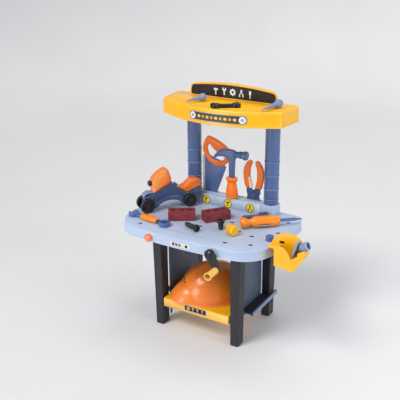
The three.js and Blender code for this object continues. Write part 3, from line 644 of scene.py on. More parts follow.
def label_marks(kind):
    """Plain pictures of tools, 16 tall, as outlines round (0, 0)."""
    if kind == "hammer":
        handle = corners((-1.3, -8), (1.3, -8), (1.3, 2), (-1.3, 2))
        return [handle, corners((-5, 2), (4, 2), (6, 4), (4, 6), (-5, 6))]
    if kind == "spanner":
        return [path((-4.5, 8), [(-5.5, 2), (-1.5, 1)], [(-1.5, -8)], [(1.5, -8)], [(1.5, 1)],
                     [(5.5, 2), (4.5, 8)], [(2, 8)], [(2, 4.5)], [(-2, 4.5)], [(-2, 8)], steps=6)]
    if kind == "pliers":
        left = path((-5, -8), [(-7, -2), (-1.5, 0.5)], [(-3, 4), (-1.5, 8)], [(-0.4, 8)], [(-0.4, 0)],
                    [(-4, -2), (-2.6, -8)], steps=6)
        return [left, [Vector((-p.x, p.y)) for p in reversed(left)]]
    if kind == "gear":
        radii = [8, 8, 6.2, 6.2, 6.2] * 8
        return [[Vector((r * cos(a), r * sin(a))) for r, a in zip(radii, around(len(radii)))]]
    shaft = corners((-1, -8), (1, -8), (1, 0), (-1, 0))
    return [shaft, corners((-2.2, 0), (2.2, 0), (2.2, 8), (-2.2, 8))]


def picture(kind, size, x, z, y0, y1):
    """Raised flat pieces that show one of the tool pictures on a face that looks to the front."""
    scale = size / 16
    pieces = []
    for mark in label_marks(kind):
        loops = [[Vector((x + p.x * scale, z + p.y * scale)) for p in mark]]
        if kind == "gear":
            loops.append(circle(3 * scale, (x, z), 24))
        pieces.append(upright(loops, y0, y1, 0.1))
    return merged(*pieces)


def sticker(name, loops, y0, y1, edge, finish, node, face):
    """A flat piece bent along a face whose y is face(x)."""
    show(name, bent(upright(loops, y0, y1, edge), face), finish, node)


def skirt_label():
    backing = [oblong(-28, 28, 303, 313.5, 2)]
    sticker("skirt_label", backing, -0.5, 0.3, 0.2, "white_foil", "worktop", deck_edge)
    for i, tone in enumerate(("brown", "red", "blue", "yellow", "black")):
        x = 10 * i - 20
        square = [oblong(x - 4.1, x + 4.1, 304.4, 312.1, 0.9)]
        sticker(f"skirt_label_mark_{i + 1}", square, -0.8, -0.4, 0.1, f"{tone}_foil", "worktop", deck_edge)


# ---- legs, end panels and lower shelf ----
def stand():
    for where in ("front_left", "back_left", "front_right", "back_right"):
        refined(f"leg_{where}", "charcoal", 1.4)
    outer = high("end_panel_right").x
    mirror = shift(2 * middle("lower_shelf").x, 0, 0) @ scaled(-1, 1, 1)
    for side, place in (("left", mirror), ("right", Matrix())):
        node = f"end_panel_{side}"
        # The panel colour is painted light: the legs' charcoal made lighter.
        refined(node, "panel", 0.9)
        strip = box(outer - 2.6, outer + 0.8, -61.6, 93.6, 65.6, 77.8, 0.9)
        show(f"tray_lip_{side}", moved(strip, place), "grey_blue", node)
        mat = box(outer - 36.5, outer - 7, -60.5, 57.5, 72.6, 73.8, 0.4)
        show(f"tray_mat_{side}", moved(mat, place), "charcoal", node)
    refined("lower_shelf", "yellow", 1.4)
    face = low("lower_shelf").y
    edge = oblong(-35, 36, 71, 88, 3)
    show("shelf_plate", upright([edge], face - 0.8, face + 0.2, 0.3), "black_foil", "lower_shelf")
    rim = [edge, oblong(-33.6, 34.6, 72.4, 86.6, 2)]
    show("shelf_plate_rim", upright(rim, face - 1.2, face - 0.6, 0.2), "grey_foil", "lower_shelf")
    for i, kind in enumerate(("gear", "hammer", "spanner", "driver")):
        mark = picture(kind, 11, 15 * i - 22, 79.5, face - 1.3, face - 0.6)
        show(f"shelf_plate_mark_{i + 1}", mark, "straw_yellow", "lower_shelf")


# ---- tool rail and columns ----
def tool_rail():
    for node in ("rail_front", "rail_middle", "rail_back", "rail_block_left", "rail_block_right"):
        refined(node, "deck", 1.2)
    face = low("rail_front").y
    z = 337.5
    for i, kind in enumerate(("spanner", "hammer", "pliers")):
        x = 72 * (i - 1)
        disc = upright([circle(13, (x, z), 48)], face - 0.6, face + 0.2, 0.2)
        show(f"rail_label_{i + 1}", disc, "yellow_foil", "rail_front")
        ring = upright([circle(13.2, (x, z), 48), circle(11.4, (x, z), 48)], face - 0.9, face - 0.4, 0.2)
        show(f"rail_label_ring_{i + 1}", ring, "brown_foil", "rail_front")
        mark = picture(kind, 17, x, z, face - 1, face - 0.4)
        show(f"rail_label_mark_{i + 1}", mark, "brown_foil", "rail_front")


def columns():
    lower = [(17.6, 354.3), (20.4, 354.3), (20.4, 367.4), (19.0, 368.8), (19.0, 370.2), (20.4, 371.6)]
    for z in (399, 439):
        lower += [(20.4, z - 1.7), (21.5, z - 0.7), (21.5, z + 0.7), (20.4, z + 1.7)]
    lower += [(20.4, 477.2), (21.5, 478.2), (21.5, 479.6), (20.6, 481), (17.6, 481)]
    upper = [(15, 469), (17.3, 469), (17.3, 481.3), (20.4, 481.3), (20.4, 632.7), (15, 632.7)]
    # The rings on the columns are raised and lighter blue; the lighter colour is a painted highlight on each
    # ring.
    band = [(20.2, -1), (21.9, -0.8), (21.9, 0.8), (20.2, 1)]
    for side in ("left", "right"):
        place = middle(f"column_{side}_lower")
        for name, profile in (("lower", lower), ("upper", upper)):
            mesh = moved(turned(profile, 72, 0.45, ring=True), shift(place.x, place.y, 0))
            remade(f"column_{side}_{name}_tube", mesh, "slate_blue", f"column_{side}_{name}", 50)
        rings_painted_highlight = [moved(turned(band, 72, 0.4, ring=True), shift(place.x, place.y, z))
                 for z in (369.6, 399, 439, 479)]
        show(f"column_{side}_rings", merged(*rings_painted_highlight), "grey_blue", f"column_{side}_lower", 50)


# ---- top shelf and sign ----
SHELF_TOP = 637
SHELF_CORNER_Y = -0.9
SHELF_CORNER_X = 172
SHELF_BOW = 52


def shelf_outline(inset):
    side, front, back = 191 - inset, SHELF_CORNER_Y + inset, 103 - inset
    corner = SHELF_CORNER_X - inset
    return path(
        (-corner, front), [(0, front - 2 * SHELF_BOW), (corner, front)],
        [(side - 9, front + 3), (side - 8, front + 12)], [(side, back - 14)],
        [(side, back), (side - 14, back)], [(14 - side, back)], [(-side, back), (-side, back - 14)],
        [(8 - side, front + 12)], [(9 - side, front + 3), (-corner, front)], steps=28)


def shelf_face(x):
    """Where the front of the top shelf lies at x."""
    return SHELF_CORNER_Y - SHELF_BOW * (1 - (x / SHELF_CORNER_X) ** 2)


def top_shelf():
    section = [
        (4, 633), (4, 595.1), (3.5, 594.6), (-1, 594.6), (-1.5, 595.1), (-1.5, 597.6), (-1.1, 598.2),
        (-0.2, 598.7), (0, 599.3), (0, 628), (0.4, 631.6), (1.8, 634.6), (4, 636.3), (7, SHELF_TOP),
        (11, SHELF_TOP), (11.7, 636.2), (13, 635.9), (14.3, 636.2), (15, SHELF_TOP),
    ]
    remade("top_shelf_shell", skin(shelf_outline, section), "yellow", "top_shelf", 50)


def shelf_badge():
    def badge(name, loops, y0, y1, edge, finish):
        sticker(name, loops, y0, y1, edge, finish, "top_shelf", shelf_face)

    z = 614.5
    outline = pill(-62, 104, 603, 626)
    badge("badge", [outline], -0.9, 0.3, 0.3, "olive_foil")
    badge("badge_rim", [outline, pill(-60.4, 102.4, 604.6, 624.4)], -1.3, -0.7, 0.2, "grey_foil")
    for i, x in enumerate((-50, 92)):
        ring = [circle(9, (x, z), 36), circle(4.4, (x, z), 24)]
        badge(f"badge_ring_{i + 1}", ring, -1.6, -0.8, 0.2, "white_foil")
        badge(f"badge_nut_{i + 1}", [circle(4.0, (x, z), 6)], -1.6, -0.8, 0.2, "grey_foil")
    for i in range(9):
        x = 12.8 * i - 30
        mark = [oblong(x - 4, x + 4, 611, 618, 1.2)]
        if i % 2:
            mark = [circle(3.6, (x, z), 20), circle(1.6, (x, z), 12)]
        badge(f"badge_mark_{i + 1}", mark, -1.5, -0.8, 0.15, "straw_yellow")


def sign_outline(inset, bottom):
    half, end, top = 134 - inset, 668 - inset, 680 - inset
    return path(
        (5 - half, bottom), [(5 + half, bottom)], [(5 + half, end), (half - 9, end + 4)],
        [(5, 2 * top - end - 3), (19 - half, end + 4)], [(5 - half, end), (5 - half, bottom)], steps=24)


def sign_field(inset):
    """The sunk field of the sign: an arched band with rounded corners."""
    left, right, end, top = inset - 127, 136 - inset, 666 - inset, 675 - inset
    low_edge = 640 + inset
    return path(
        (left + 8, low_edge), [(right - 10, low_edge)], [(right, low_edge), (right, end - 10)],
        [(right, end - 2), (right - 12, end + 1)], [(5, 2 * top - end - 1), (left + 8, end + 1)],
        [(left, end), (left, end - 6)], [(left, low_edge + 4)], [(left, low_edge), (left + 8, low_edge)],
        steps=20)


def sign_board():
    outline = sign_outline(0, SHELF_TOP + 0.3)
    border = merged(upright([outline], 69, 76, 2.4), upright([outline, sign_field(0)], 66, 72, 1.6))
    remade("sign_border", border, "yellow", "sign_board", 50)
    show("sign_field", upright([sign_field(-0.6)], 67.4, 69.4, 0.2), "black_foil", "sign_board")
    for i, kind in enumerate(("hammer", "spanner", "gear", "pliers", "driver")):
        x = 26.5 * i - 48
        z = 657.5 - ((x - 5) / 60) ** 2 * 2
        show(f"sign_mark_{i + 1}", picture(kind, 20, x, z, 66.7, 67.6), "white_foil", "sign_board")


# ---- knob, crank and vise ----
def skirt_knob():
    place = shift(middle("skirt_knob").x, high("skirt_knob").y, middle("skirt_knob").z)
    body = [(0, 0), (10.2, 0), (11, 1), (11, 6.4), (9.8, 9), (8, 9.8), (6.8, 9.2), (0, 8.9)]
    grip = turned(body, 60, 0.6, shape=knurled(0.02, 18, 10))
    remade("knob_dial", moved(grip, UPRIGHT, place), "coral", "skirt_knob")
    pointer = box(-0.9, 0.9, 1, 6.4, 8.6, 9.6, 0.3)
    show("knob_pointer", moved(pointer, UPRIGHT, place), "white_foil", "skirt_knob")


def crank():
    face = high("crank_arm").y
    hub = CRANK_HUB
    grip = Vector((middle("crank_grip").x, middle("crank_grip").z))
    arm = upright([link(hub, grip, 14, 8.5)], face - 12, face, 2.6)
    cap = turned([(0, 0), (8.5, 0), (8.5, 2), (6.5, 3), (5.5, 1.6), (0, 1.4)], 48, 0.4)
    cap = moved(cap, UPRIGHT, shift(hub.x, face - 11.6, hub.y))
    pin = turned([(0, 0), (3.4, 0), (3.4, 9.5), (0, 9.5)], 32, 0.3)
    pin = moved(pin, UPRIGHT, shift(grip.x, face - 11.5, grip.y))
    remade("crank_lever", merged(arm, cap, pin), "black", "crank_arm")
    # Painted glint: a small light grey patch near the top of the black hub.
    mark = [oblong(hub.x - 1, hub.x + 4, hub.y + 8, hub.y + 10.4, 0.8)]
    show("crank_painted_glint", upright(mark, face - 12.4, face - 11.8, 0.1), "grey_foil", "crank_arm")
    profile = [
        (3.8, 0), (8, 0), (9, 3), (9, 12), (8.6, 13), (8.6, 14.4), (9, 15.4), (9, 37), (10.6, 39), (10.6, 42),
        (8.2, 42), (7.4, 12), (3.8, 12),
    ]
    sleeve = turned(profile, 64, 0.5, ring=True)
    sleeve = moved(sleeve, UPRIGHT, shift(grip.x, high("crank_grip").y, grip.y))
    remade("crank_sleeve", sleeve, "straw_yellow", "crank_grip")


def vise():
    refined("vise_body", "yellow", 1.2)
    refined("vise_jaw", "grey_blue", 0.9)
    place = shift(293.6, -129.5, 332.6) @ turn(60, "Y")
    body = [
        (0, 8.2), (2.5, 8.6), (4.5, 10), (5, 12.5), (10.2, 19), (11.2, 21), (11.2, 33.4), (12.2, 34.6),
        (12.2, 38), (9.6, 38), (9.2, 22), (0, 22),
    ]
    handle = turned(body, 72, 0.5, shape=grooved(0.04, 10, 10.4, 11.6))
    remade("vise_tube", moved(handle, place), "grey_blue", "vise_screw")
    slot = upright([corners((241, 331), (259, 331), (259, 344), (241, 344))], -108.9, -108.3, 0.1)
    show("vise_slot_shade", slot, "black_foil", "vise_body")
    rim = turned([(9.8, 37.8), (12.1, 37.8), (12.1, 38.7), (9.8, 38.7)], 64, 0.3, ring=True)
    show("vise_tube_rim", moved(rim, place), "pale_blue", "vise_screw")


# ---- hung tools ----
SAW_Y = middle("saw_handle").y
TEETH_LOW = 357
TEETH_HIGH = 462
TEETH = 17
PLIERS = shift(67.2, SAW_Y, 365)


def saw():
    outer = [
        (-79, 521), (-57, 515), (-25, 499), (-11, 485), (-9, 467), (-15, 451), (-33, 438), (-53, 435),
        (-75, 444), (-91, 461), (-98, 481), (-93, 503), (-86, 516),
    ]
    hole = [
        (-79, 495), (-65, 497), (-39, 485), (-27, 475), (-27, 461), (-37, 453), (-55, 452), (-71, 459),
        (-81, 473), (-83, 487),
    ]
    pad = [
        (-75, 516), (-57, 514), (-28, 500), (-11, 485), (-9, 472), (-18, 465), (-36, 470), (-54, 481),
        (-70, 495),
    ]
    handle = upright([spline_loop(outer), spline_loop(hole)], SAW_Y - 5, SAW_Y + 5, 3.8)
    remade("saw_grip", merged(handle, slab(spline_loop(pad), 8, 4.6, SAW_Y)), "orange", "saw_handle", 55)
    for i in range(6):
        x, z = 8.0 * i - 61, 501 - 4.6 * i
        rib = [rounded(corners((x - 1, z - 5), (x + 1, z - 4), (x + 2.6, z + 4), (x + 0.6, z + 5)), 0.8)]
        sides = [upright(rib, SAW_Y + y - 0.55, SAW_Y + y + 0.55, 0.4) for y in (-8.15, 8.15)]
        show(f"saw_grip_rib_{i + 1}", merged(*sides), "orange", "saw_handle")
    blade = corners((-56, 336), (-56, 354), (-51, 356), (-22, 434), (-38, 452), (-60, 458), (-92, 470),
                    (-95, 462), (-92.5, 356), (-84, 354), (-84, 336))
    ridge = corners((-60, 362), (-58, 362), (-34, 430), (-37, 436), (-60, 448), (-86, 452), (-86, 362))
    sheet = merged(slab(blade, 2, 0.6, SAW_Y), slab(ridge, 2.4, 0.4, SAW_Y))
    remade("saw_plate", sheet, "slate_blue", "saw_blade")
    strip = [(-91.5, TEETH_HIGH), (-91, TEETH_LOW)]
    for i in range(TEETH):
        z = TEETH_LOW + (TEETH_HIGH - TEETH_LOW) * i / TEETH
        strip += [(-100.5, z + 1), (-96.5, z + 5.4)]
    show("saw_teeth", slab(corners(*strip), 2.3, 0.35, SAW_Y), "grey_foil", "saw_blade")


def hammer():
    x, y = 8.5, middle("hammer_grip").y
    claw = path(
        (-52, 462), [(-46, 484), (-28, 497), (-6, 498)], [(12, 497)], [(22, 492)], [(22, 474)],
        [(17.5, 471), (x + 8.5, 462)], [(x + 7.5, 417.5)], [(x - 7.5, 417.5)], [(x - 8.5, 462)],
        [(-2, 476), (-28, 482), (-52, 462)])
    body = slab(claw, 7, 3.2, y)
    inner = path(
        (-40, 472), [(-34, 483), (-22, 491), (-6, 492)], [(10, 491)], [(12, 478)], [(11.5, 470)], [(12, 424)],
        [(5, 424)], [(4, 468)], [(-6, 480), (-26, 482), (-40, 472)])
    web = slab(inner, 7.8, 1.2, y)
    along = shift(x, y, 486) @ ALONG_X
    face = [(0, 8), (8.6, 8), (8.6, 21), (10.4, 25), (10.4, 37), (12.5, 38), (12.5, 46), (11.4, 48), (0, 48)]
    poll = moved(turned(face, 56, 0.8), along)
    remade("hammer_top", merged(body, web, poll), "slate_blue", "hammer_head")
    ring = turned([(11.6, 38.6), (13, 39.4), (13, 41), (11.6, 41.8)], 56, 0.4, ring=True)
    show("hammer_ring", moved(ring, along), "grey_blue", "hammer_head")
    grip = [
        (0, 354.6), (16.2, 354.6), (18.4, 358), (19, 366), (17.4, 380), (14.6, 394), (13.2, 402), (14.2, 405),
        (17, 407), (17.5, 412), (16, 417), (0, 417),
    ]
    fluted = turned(grip, 96, 1.0, shape=grooved(0.05, 9, 9, bottom=358, top=398))
    fluted = moved(fluted, scaled(1, 0.68, 1), shift(x, y, 0))
    tongue = box(x - 10, x + 10, y - 3.5, y + 3.5, 336, 356, 0.8)
    remade("hammer_handle", merged(fluted, tongue), "orange", "hammer_grip", 50)


def pliers():
    sleeve = path(
        (4.2, 23), [(7, 34), (11, 44), (11, 62)], [(11, 80), (7, 91), (4.4, 97)],
        [(4, 105), (13, 108), (19, 101)], [(28, 91), (33, 79), (32.5, 64)], [(32, 48), (29, 36), (25, 23)])
    jaw = [(0.8, -29), (20, -29), (22, -14), (19, 3), (6, 12), (-6, 22.7), (-21, 22.7), (-21, 8), (-14, -5),
           (0.8, -13)]
    boss = [(10, -4), (14, 3), (4, 11), (-6, 22.7), (-21, 22.7), (-19, 9), (-8, -3)]
    for side, half, grip, thin, deep in (
        (1, "front", "left", (-2.7, -0.15), (-5, -1)),
        (-1, "back", "right", (0.15, 2.7), (1, 5)),
    ):
        flat = upright([rounded(corners(*((side * px, pz) for px, pz in jaw)), 1.5)], *thin, 0.5)
        hub = upright([rounded(corners(*((side * px, pz) for px, pz in boss)), 3)], *deep, 1.0)
        remade(f"pliers_jaw_{half}", moved(merged(flat, hub), PLIERS), "dark_slate", f"pliers_half_{half}")
        cover = slab([Vector((-side * p.x, p.y)) for p in sleeve], 5, 4.4)
        remade(f"pliers_sleeve_{grip}", moved(cover, PLIERS), "orange", f"pliers_grip_{grip}", 60)
    # Painted highlight: a cream plate on the inner face of the orange left grip, where light falls on it.
    lit_inner_face = corners((-14.5, 56), (-9.5, 56), (-9.5, 50), (-3.9, 30), (-3.4, 24), (-10, 23.6))
    lit_inner_face = upright([rounded(lit_inner_face, 2)], -5.6, 4, 0.6)
    show("pliers_painted_highlight", moved(lit_inner_face, PLIERS), "highlight_cream", "pliers_grip_left")
    pin = [(0, -5.7), (5.4, -5.7), (6, -5), (6, 5), (5.4, 5.7), (0, 5.7)]
    remade("pliers_rivet", moved(turned(pin, 40, 0.4), UPRIGHT, PLIERS), "dark_slate", "pliers_pin")
    slot = box(-4, 4, -0.7, 0.7, 5.2, 6.3, 0.2)
    show("pliers_rivet_slot", moved(slot, turn(40), UPRIGHT, PLIERS), "silver", "pliers_pin")


# ---- tools and bricks on the worktop ----
def barrel(stations, power=2.6, count=40):
    """A handle along X through (x, half width, bottom, top), with a rounded square section."""
    def swell(value):
        return copysign(abs(value) ** (2 / power), value)

    return loft([[(x, half * swell(cos(a)), (z0 + z1) / 2 + (z1 - z0) / 2 * swell(sin(a)))
                  for a in around(count)] for x, half, z0, z1 in stations])


def spanner():
    place = placed(-139, -138.5, ON_DECK, -9)
    ring = plate([circle(16, (55, 0), 56), circle(10, (55, 0), 48)], 0, 12, 1.6)
    groove = plate([circle(14, (55, 0), 56), circle(12.2, (55, 0), 48)], 11.2, 13, 0.2)
    jaw = plate([circle(14.5, (-62, 0), 56)], 0, 12, 1.6)
    mouth = moved(box(-20, 0, -6.5, 6.5, -1, 13, 1), Matrix.Rotation(-0.3, 4, "Z"), shift(-63, 0, 0))
    bar = plate([oblong(-52, 42, -5, 5, 1)], 2, 10, 1.2)
    shape = fused(carved(jaw, mouth), bar, carved(ring, groove))
    remade("spanner_steel", moved(shape, place), "slate_blue", "spanner")
    grip = barrel([
        (-30, 6.5, 1, 11), (-29.4, 8.6, 0.3, 12.6), (-27, 9.6, 0, 13.6), (-22, 8.8, 0, 13.2),
        (-15, 10.4, 0, 14.4), (-4, 11.6, 0, 15), (8, 11.6, 0, 15), (17, 10.6, 0, 14.4), (22, 8.8, 0, 13),
        (25, 9.6, 0, 13.4), (27.4, 8.6, 0.3, 12.4), (28, 6.5, 1, 11),
    ])
    remade("spanner_sleeve", moved(grip, place), "amber", "spanner_grip", 60)
    for i in range(3):
        rib = plate([oblong(-12, 14, 4 * i - 5, 4 * i - 3, 0.9)], 14.4, 15.6, 0.4)
        show(f"spanner_sleeve_rib_{i + 1}", moved(rib, place), "orange", "spanner_grip")


def around_x(radius, x0, x1, first, last, thickness=0.4, steps=10):
    """A curved strip on a cylinder about X, between two angles from the front, upwards, in degrees."""
    inner, outer = [], []
    for k in range(steps + 1):
        a = radians(first + (last - first) * k / steps)
        for loop, r in ((outer, radius + thickness), (inner, radius - 0.3)):
            loop.append((-r * cos(a), r * sin(a)))
    section = outer + inner[::-1]
    return loft([[(x, *p) for p in section] for x in (x0, x1)])


def screwdriver():
    place = placed(101.8, -61.8, ON_DECK + 15.6, 40.7)
    body = [
        (0, 0), (9, 0), (13, 1.6), (15, 6), (14.4, 12), (11.4, 18), (9, 23), (9, 28), (12, 33), (14.8, 39),
        (15.5, 48), (15.5, 84), (14.2, 97), (12.4, 103), (11.5, 104), (11.5, 107.4), (10.8, 108), (4.8, 108),
        (4.8, 90), (0, 90),
    ]

    def flutes(a, r, z):
        fade = min(1, max(0, (z - 34) / 10), max(0, (100 - z) / 10))
        return 1 - 0.07 * fade * (r > 8) * max(0, cos(6 * a)) ** 0.6

    handle = moved(turned(body, 96, 0.6, shape=flutes), ALONG_X, place)
    remade("screwdriver_handle", handle, "amber", "screwdriver_grip", 55)
    shaft = moved(turned([(0, 90.4), (4.5, 90.4), (4.5, 152), (0, 152)], 40, 0.4), ALONG_X)
    stages = (
        (148, 4.2, 4.2), (152, 4.6, 3.6), (157, 5.6, 2.2), (161, 6, 1.6), (169.5, 6, 1.3), (170, 5.6, 0.9),
    )
    tip = loft([[(x, half * cos(a), thin * sin(a)) for a in around(32)] for x, half, thin in stages])
    remade("screwdriver_blade", moved(merged(shaft, tip), place), "slate_blue", "screwdriver_shaft")
    for i, (tone, first, last) in enumerate((("black", -38, -26), ("white", -26, -18), ("black", -18, -8))):
        strip = moved(around_x(15.3, 46, 80, first, last), place)
        show(f"screwdriver_label_{i + 1}", strip, f"{tone}_foil", "screwdriver_grip")


def flat_bar():
    place = placed(104.5, 20.5, ON_DECK, 43)
    tip = corners((22, -6), (30, -8), (36, -3), (36, 4), (30, 8), (22, 6))
    eye = circle(3.5, (29, 0), 28)
    shape = corners((-34, -8)) + tip + corners((-34, 8), (-38, 0))
    bar = plate([rounded(shape, 2), eye], 0, 9, 1.0)
    knob = plate([rounded(corners((10, -6.5)) + tip + corners((10, 6.5)), 2), eye], 1, 15, 1.4)
    remade("bar_body", moved(merged(bar, knob), place), "dark_slate", "flat_bar")


def bricks():
    for name, place in (("left", (-93.2, -117, ON_DECK, 32)), ("right", (4.9, -79, ON_DECK, 54))):
        pocket = plate([circle(8, (0, 0), 32, 0.68)], 21, 30, 0.3)
        pockets = [moved(pocket.copy(), shift(x, 17, 0)) for x in (14.5, 37.5, 60.5)]
        block = carved(box(0, 75, 0, 34, 0, 27, 1.2), *pockets)
        remade(f"brick_{name}_block", moved(block, placed(*place)), "brick", f"brick_{name}")


def bolt(shank, length, head, head_height, pitch=3.6):
    """A bolt with its head at z = 0 and its threaded shank above."""
    profile = [
        (0, 0), (head - 1.6, 0), (head, 1.4), (head, head_height - 0.8), (shank, head_height),
        (0, head_height),
    ]
    top = turned(profile, 56, 0.5, shape=knurled(0.03, 16, head - 0.5))
    socket = moved(plate([circle(head * 0.56, (0, 0), 6)], -2, head_height * 0.55, 0.2), turn(12))
    thread = threaded(shank, head_height - 1, length - 3, pitch, 1.1)
    tip = turned([(0, length - 4), (shank - 1.2, length - 4), (shank - 2.2, length), (0, length)], 48, 0.5)
    return merged(carved(top, socket), thread, tip)


def loose_hardware():
    lying = placed(15.3, -141, ON_DECK + 10.6, 156.8) @ Matrix.Rotation(pi / 2 + 0.06, 4, "Y")
    remade("bolt_lying_body", moved(bolt(6.5, 53, 10, 9), lying), "black", "bolt_lying")
    standing = shift(59, -92, ON_DECK + 27) @ UPSIDE_DOWN
    remade("bolt_upright_body", moved(bolt(7.6, 27, 10.8, 8), standing), "black", "bolt_upright")
    nut = [
        (7, -12), (13.4, -12), (14.5, -11), (14.5, -8.5), (10.4, -7.4), (10.4, -4.6), (14.5, -3.5), (14.5, 0),
        (10.4, 1.1), (10.4, 3.9), (14.5, 5), (14.5, 9), (12.5, 12), (0, 12), (0, 4), (7, 4),
    ]
    ribs = turned(nut, 96, 0.7, ring=True, shape=grooved(0.05, 12, 13.5, power=2))
    remade("nut_body", moved(ribs, UPRIGHT, placed(104, -111, ON_DECK + 14.6, 69)), "yellow", "nut_yellow")
    peg = [
        (0, 0), (9.8, 0), (10.4, 0.8), (10.4, 4.6), (9.4, 6), (9.4, 7), (11, 8), (11, 11), (9.8, 12.6),
        (6, 12.6), (5.4, 11.4), (0, 11.2),
    ]
    remade("peg_body", moved(turned(peg, 60, 0.4), shift(204, -92, ON_DECK)), "slate_blue", "peg_blue")


# ---- things on the top shelf ----
ON_SHELF = SHELF_TOP + 0.3


def toy_screw(stretch):
    point = moved(threaded(7.4, 0, 46, 5.2, 1.3, 0.82), UPSIDE_DOWN, shift(0, 0, 46))
    profile = [(0, 44), (6.8, 44), (10.5, 48), (10.5, 56), (8.4, 59.4), (3, 60), (2.4, 57.6), (0, 57.4)]
    head = turned(profile, 56, 0.6, shape=grooved(0.04, 8, 10))
    return moved(merged(point, head), scaled(1, 1, stretch))


def shelf_things():
    screws = (("left", -87, -30, 55, 1, 0.125), ("right", 134, -23, 74, 1.35, 0.1))
    for name, x, y, heading, stretch, rise in screws:
        place = placed(x, y, ON_SHELF + 4.4, heading) @ Matrix.Rotation(pi / 2 - rise, 4, "Y")
        remade(f"screw_{name}_body", moved(toy_screw(stretch), place), "grey_blue", f"top_screw_{name}")
    mouth = moved(box(0, 16, -5, 5, -1, 12, 0.8), Matrix.Rotation(0.35, 4, "Z"), shift(29, 0, 0))
    jaws = [plate([circle(12, (x, 0), 48)], 0, 11, 1.6) for x in (-28, 28)]
    ends = [carved(jaws[0], moved(mouth.copy(), turn(180))), carved(jaws[1], mouth)]
    bar = plate([path((-22, -7), [(0, -11), (22, -7)], [(22, 5)], [(0, 0), (-22, 5)])], 1, 10, 1.6)
    shape = moved(merged(*ends, bar), placed(32, -20, ON_SHELF, 35))
    remade("black_spanner_body", shape, "black", "black_spanner")


# ---- scooter ----
SCOOTER = placed(-191, -83.8, ON_DECK, 54.2)
AXLES = {"front": (0, 21), "rear": (129, 19.5)}
TRACK = 19.2
NARROWING = 0.35


def narrowed(mesh, axis, start, length):
    """Draws a mesh in towards Y = 0 as it runs along an axis past start."""
    for v in mesh.vertices:
        v.co.y *= 1 - NARROWING * min(1, max(0, (v.co[axis] - start) / length))
    return mesh


def scooter_frame():
    shape = corners(
        (-8, 28), (-7, 45), (16, 52), (34, 59), (48, 67), (62, 73), (70, 78), (79, 79), (84, 75), (92, 63),
        (99, 56.5), (122, 40.8), (164, 54), (168, 50), (166, 36), (150, 32), (141, 12), (129, 8), (116, 9),
        (104, 15), (90, 23), (74, 26), (56, 24), (42, 18), (30, 8), (16, 6), (2, 8))
    ribs = []
    for lift, rise in ((5, 22), (9.5, 22), (14, 20)):
        crest = rise + lift + 4
        arc = path((14, 10 + lift), [(40, 8 + lift), (42, crest), (74, crest + 1)],
                   [(104, crest), (100, 12 + lift), (128, 10 + lift)])
        ribs += [tube([(p.x, y, p.y) for p in arc], 0.9, 8) for y in (-13, 13)]
    body = slab(rounded(shape, 4), 13, 3.0)
    remade("scooter_body", moved(body, SCOOTER), "dark_slate", "scooter_frame", 50)
    show("scooter_ribs", moved(merged(*ribs), SCOOTER), "slate_blue", "scooter_frame")
    strut = tube([(70, -11.5, 74), (84, -11.5, 80), (99, -11.5, 66)], 1.4)
    show("scooter_strut", moved(strut, SCOOTER), "pale_blue", "scooter_frame")


def scooter_cowl():
    outer = path(
        (20, 54.4), [(33.7, 59.6)], [(47.7, 67.5)], [(61.8, 73.6)], [(70, 78.6)], [(76, 90)], [(69, 112)],
        [(64, 125), (52, 120)], [(26, 106), (19, 90)])
    panel = path((30, 63), [(45, 72)], [(60, 79)], [(70, 90)], [(64, 109)], [(60, 114), (54, 110)],
                 [(38, 98), (33, 84)])
    cheek = path((36, 70), [(60, 82)], [(66, 92)], [(60, 104)], [(52, 92), (36, 70)])
    layers = ((outer, 17, 5), (rounded(panel, 1), 18.4, 2.2), (cheek, 19.6, 1.2))
    cowl = merged(*(slab(*layer) for layer in layers))
    cowl = moved(narrowed(cowl, 2, 70, 50), SCOOTER)
    remade("scooter_cowl", cowl, "orange", "scooter_fairing", 55)
    band = path((20.8, 58), [(19.8, 90)], [(26.8, 105.2), (52, 119)], [(61, 118.5)], [(59, 104)],
                [(44, 96), (38, 84)], [(27, 62)])
    strip = merged(upright([band], -18.9, -16, 1.0), upright([band], 16, 18.9, 1.0))
    strip = moved(narrowed(strip, 2, 70, 50), SCOOTER)
    show("scooter_cowl_band", strip, "light_orange", "scooter_fairing")


def scooter_seat():
    saddle = path(
        (92.5, 64), [(99.4, 57)], [(122, 41.4)], [(164.5, 54.8)], [(172, 62), (165, 74)],
        [(150, 82), (132, 79)], [(118, 64), (108, 62)], [(98, 64), (93.5, 71)])
    pad = path((112, 58), [(124, 52)], [(156, 60)], [(162, 64), (157, 70)], [(146, 76), (134, 73)],
               [(122, 60), (112, 58)])
    seat = narrowed(merged(slab(saddle, 13, 4.6), slab(pad, 14, 1.4)), 0, 150, 20)
    remade("scooter_saddle", moved(seat, SCOOTER), "orange", "scooter_seat", 55)


def scooter_front():
    lamp = turned([(0, 0), (6, 0), (8.5, 2), (8.5, 7), (6, 9), (0, 9)], 48, 0.8)
    remade("scooter_lamp", moved(lamp, ALONG_X, shift(9.3, 0, 81), SCOOTER), "black", "scooter_headlight")
    lens = turned([(0, 0), (5.4, 0), (5.4, 1), (0, 1)], 40, 0.3)
    show("scooter_lens", moved(lens, ALONG_X, shift(8.7, 0, 81), SCOOTER), "dark_slate", "scooter_headlight")
    guard = path((-9, 46), [(-6, 55), (6, 58)], [(18.5, 56)], [(18.5, 53.2)], [(8, 54.4), (-2, 50.6)],
                 [(-6.4, 45.6)])
    remade("scooter_guard", moved(slab(guard, 11, 1.0), SCOOTER), "grey_blue", "scooter_fender")


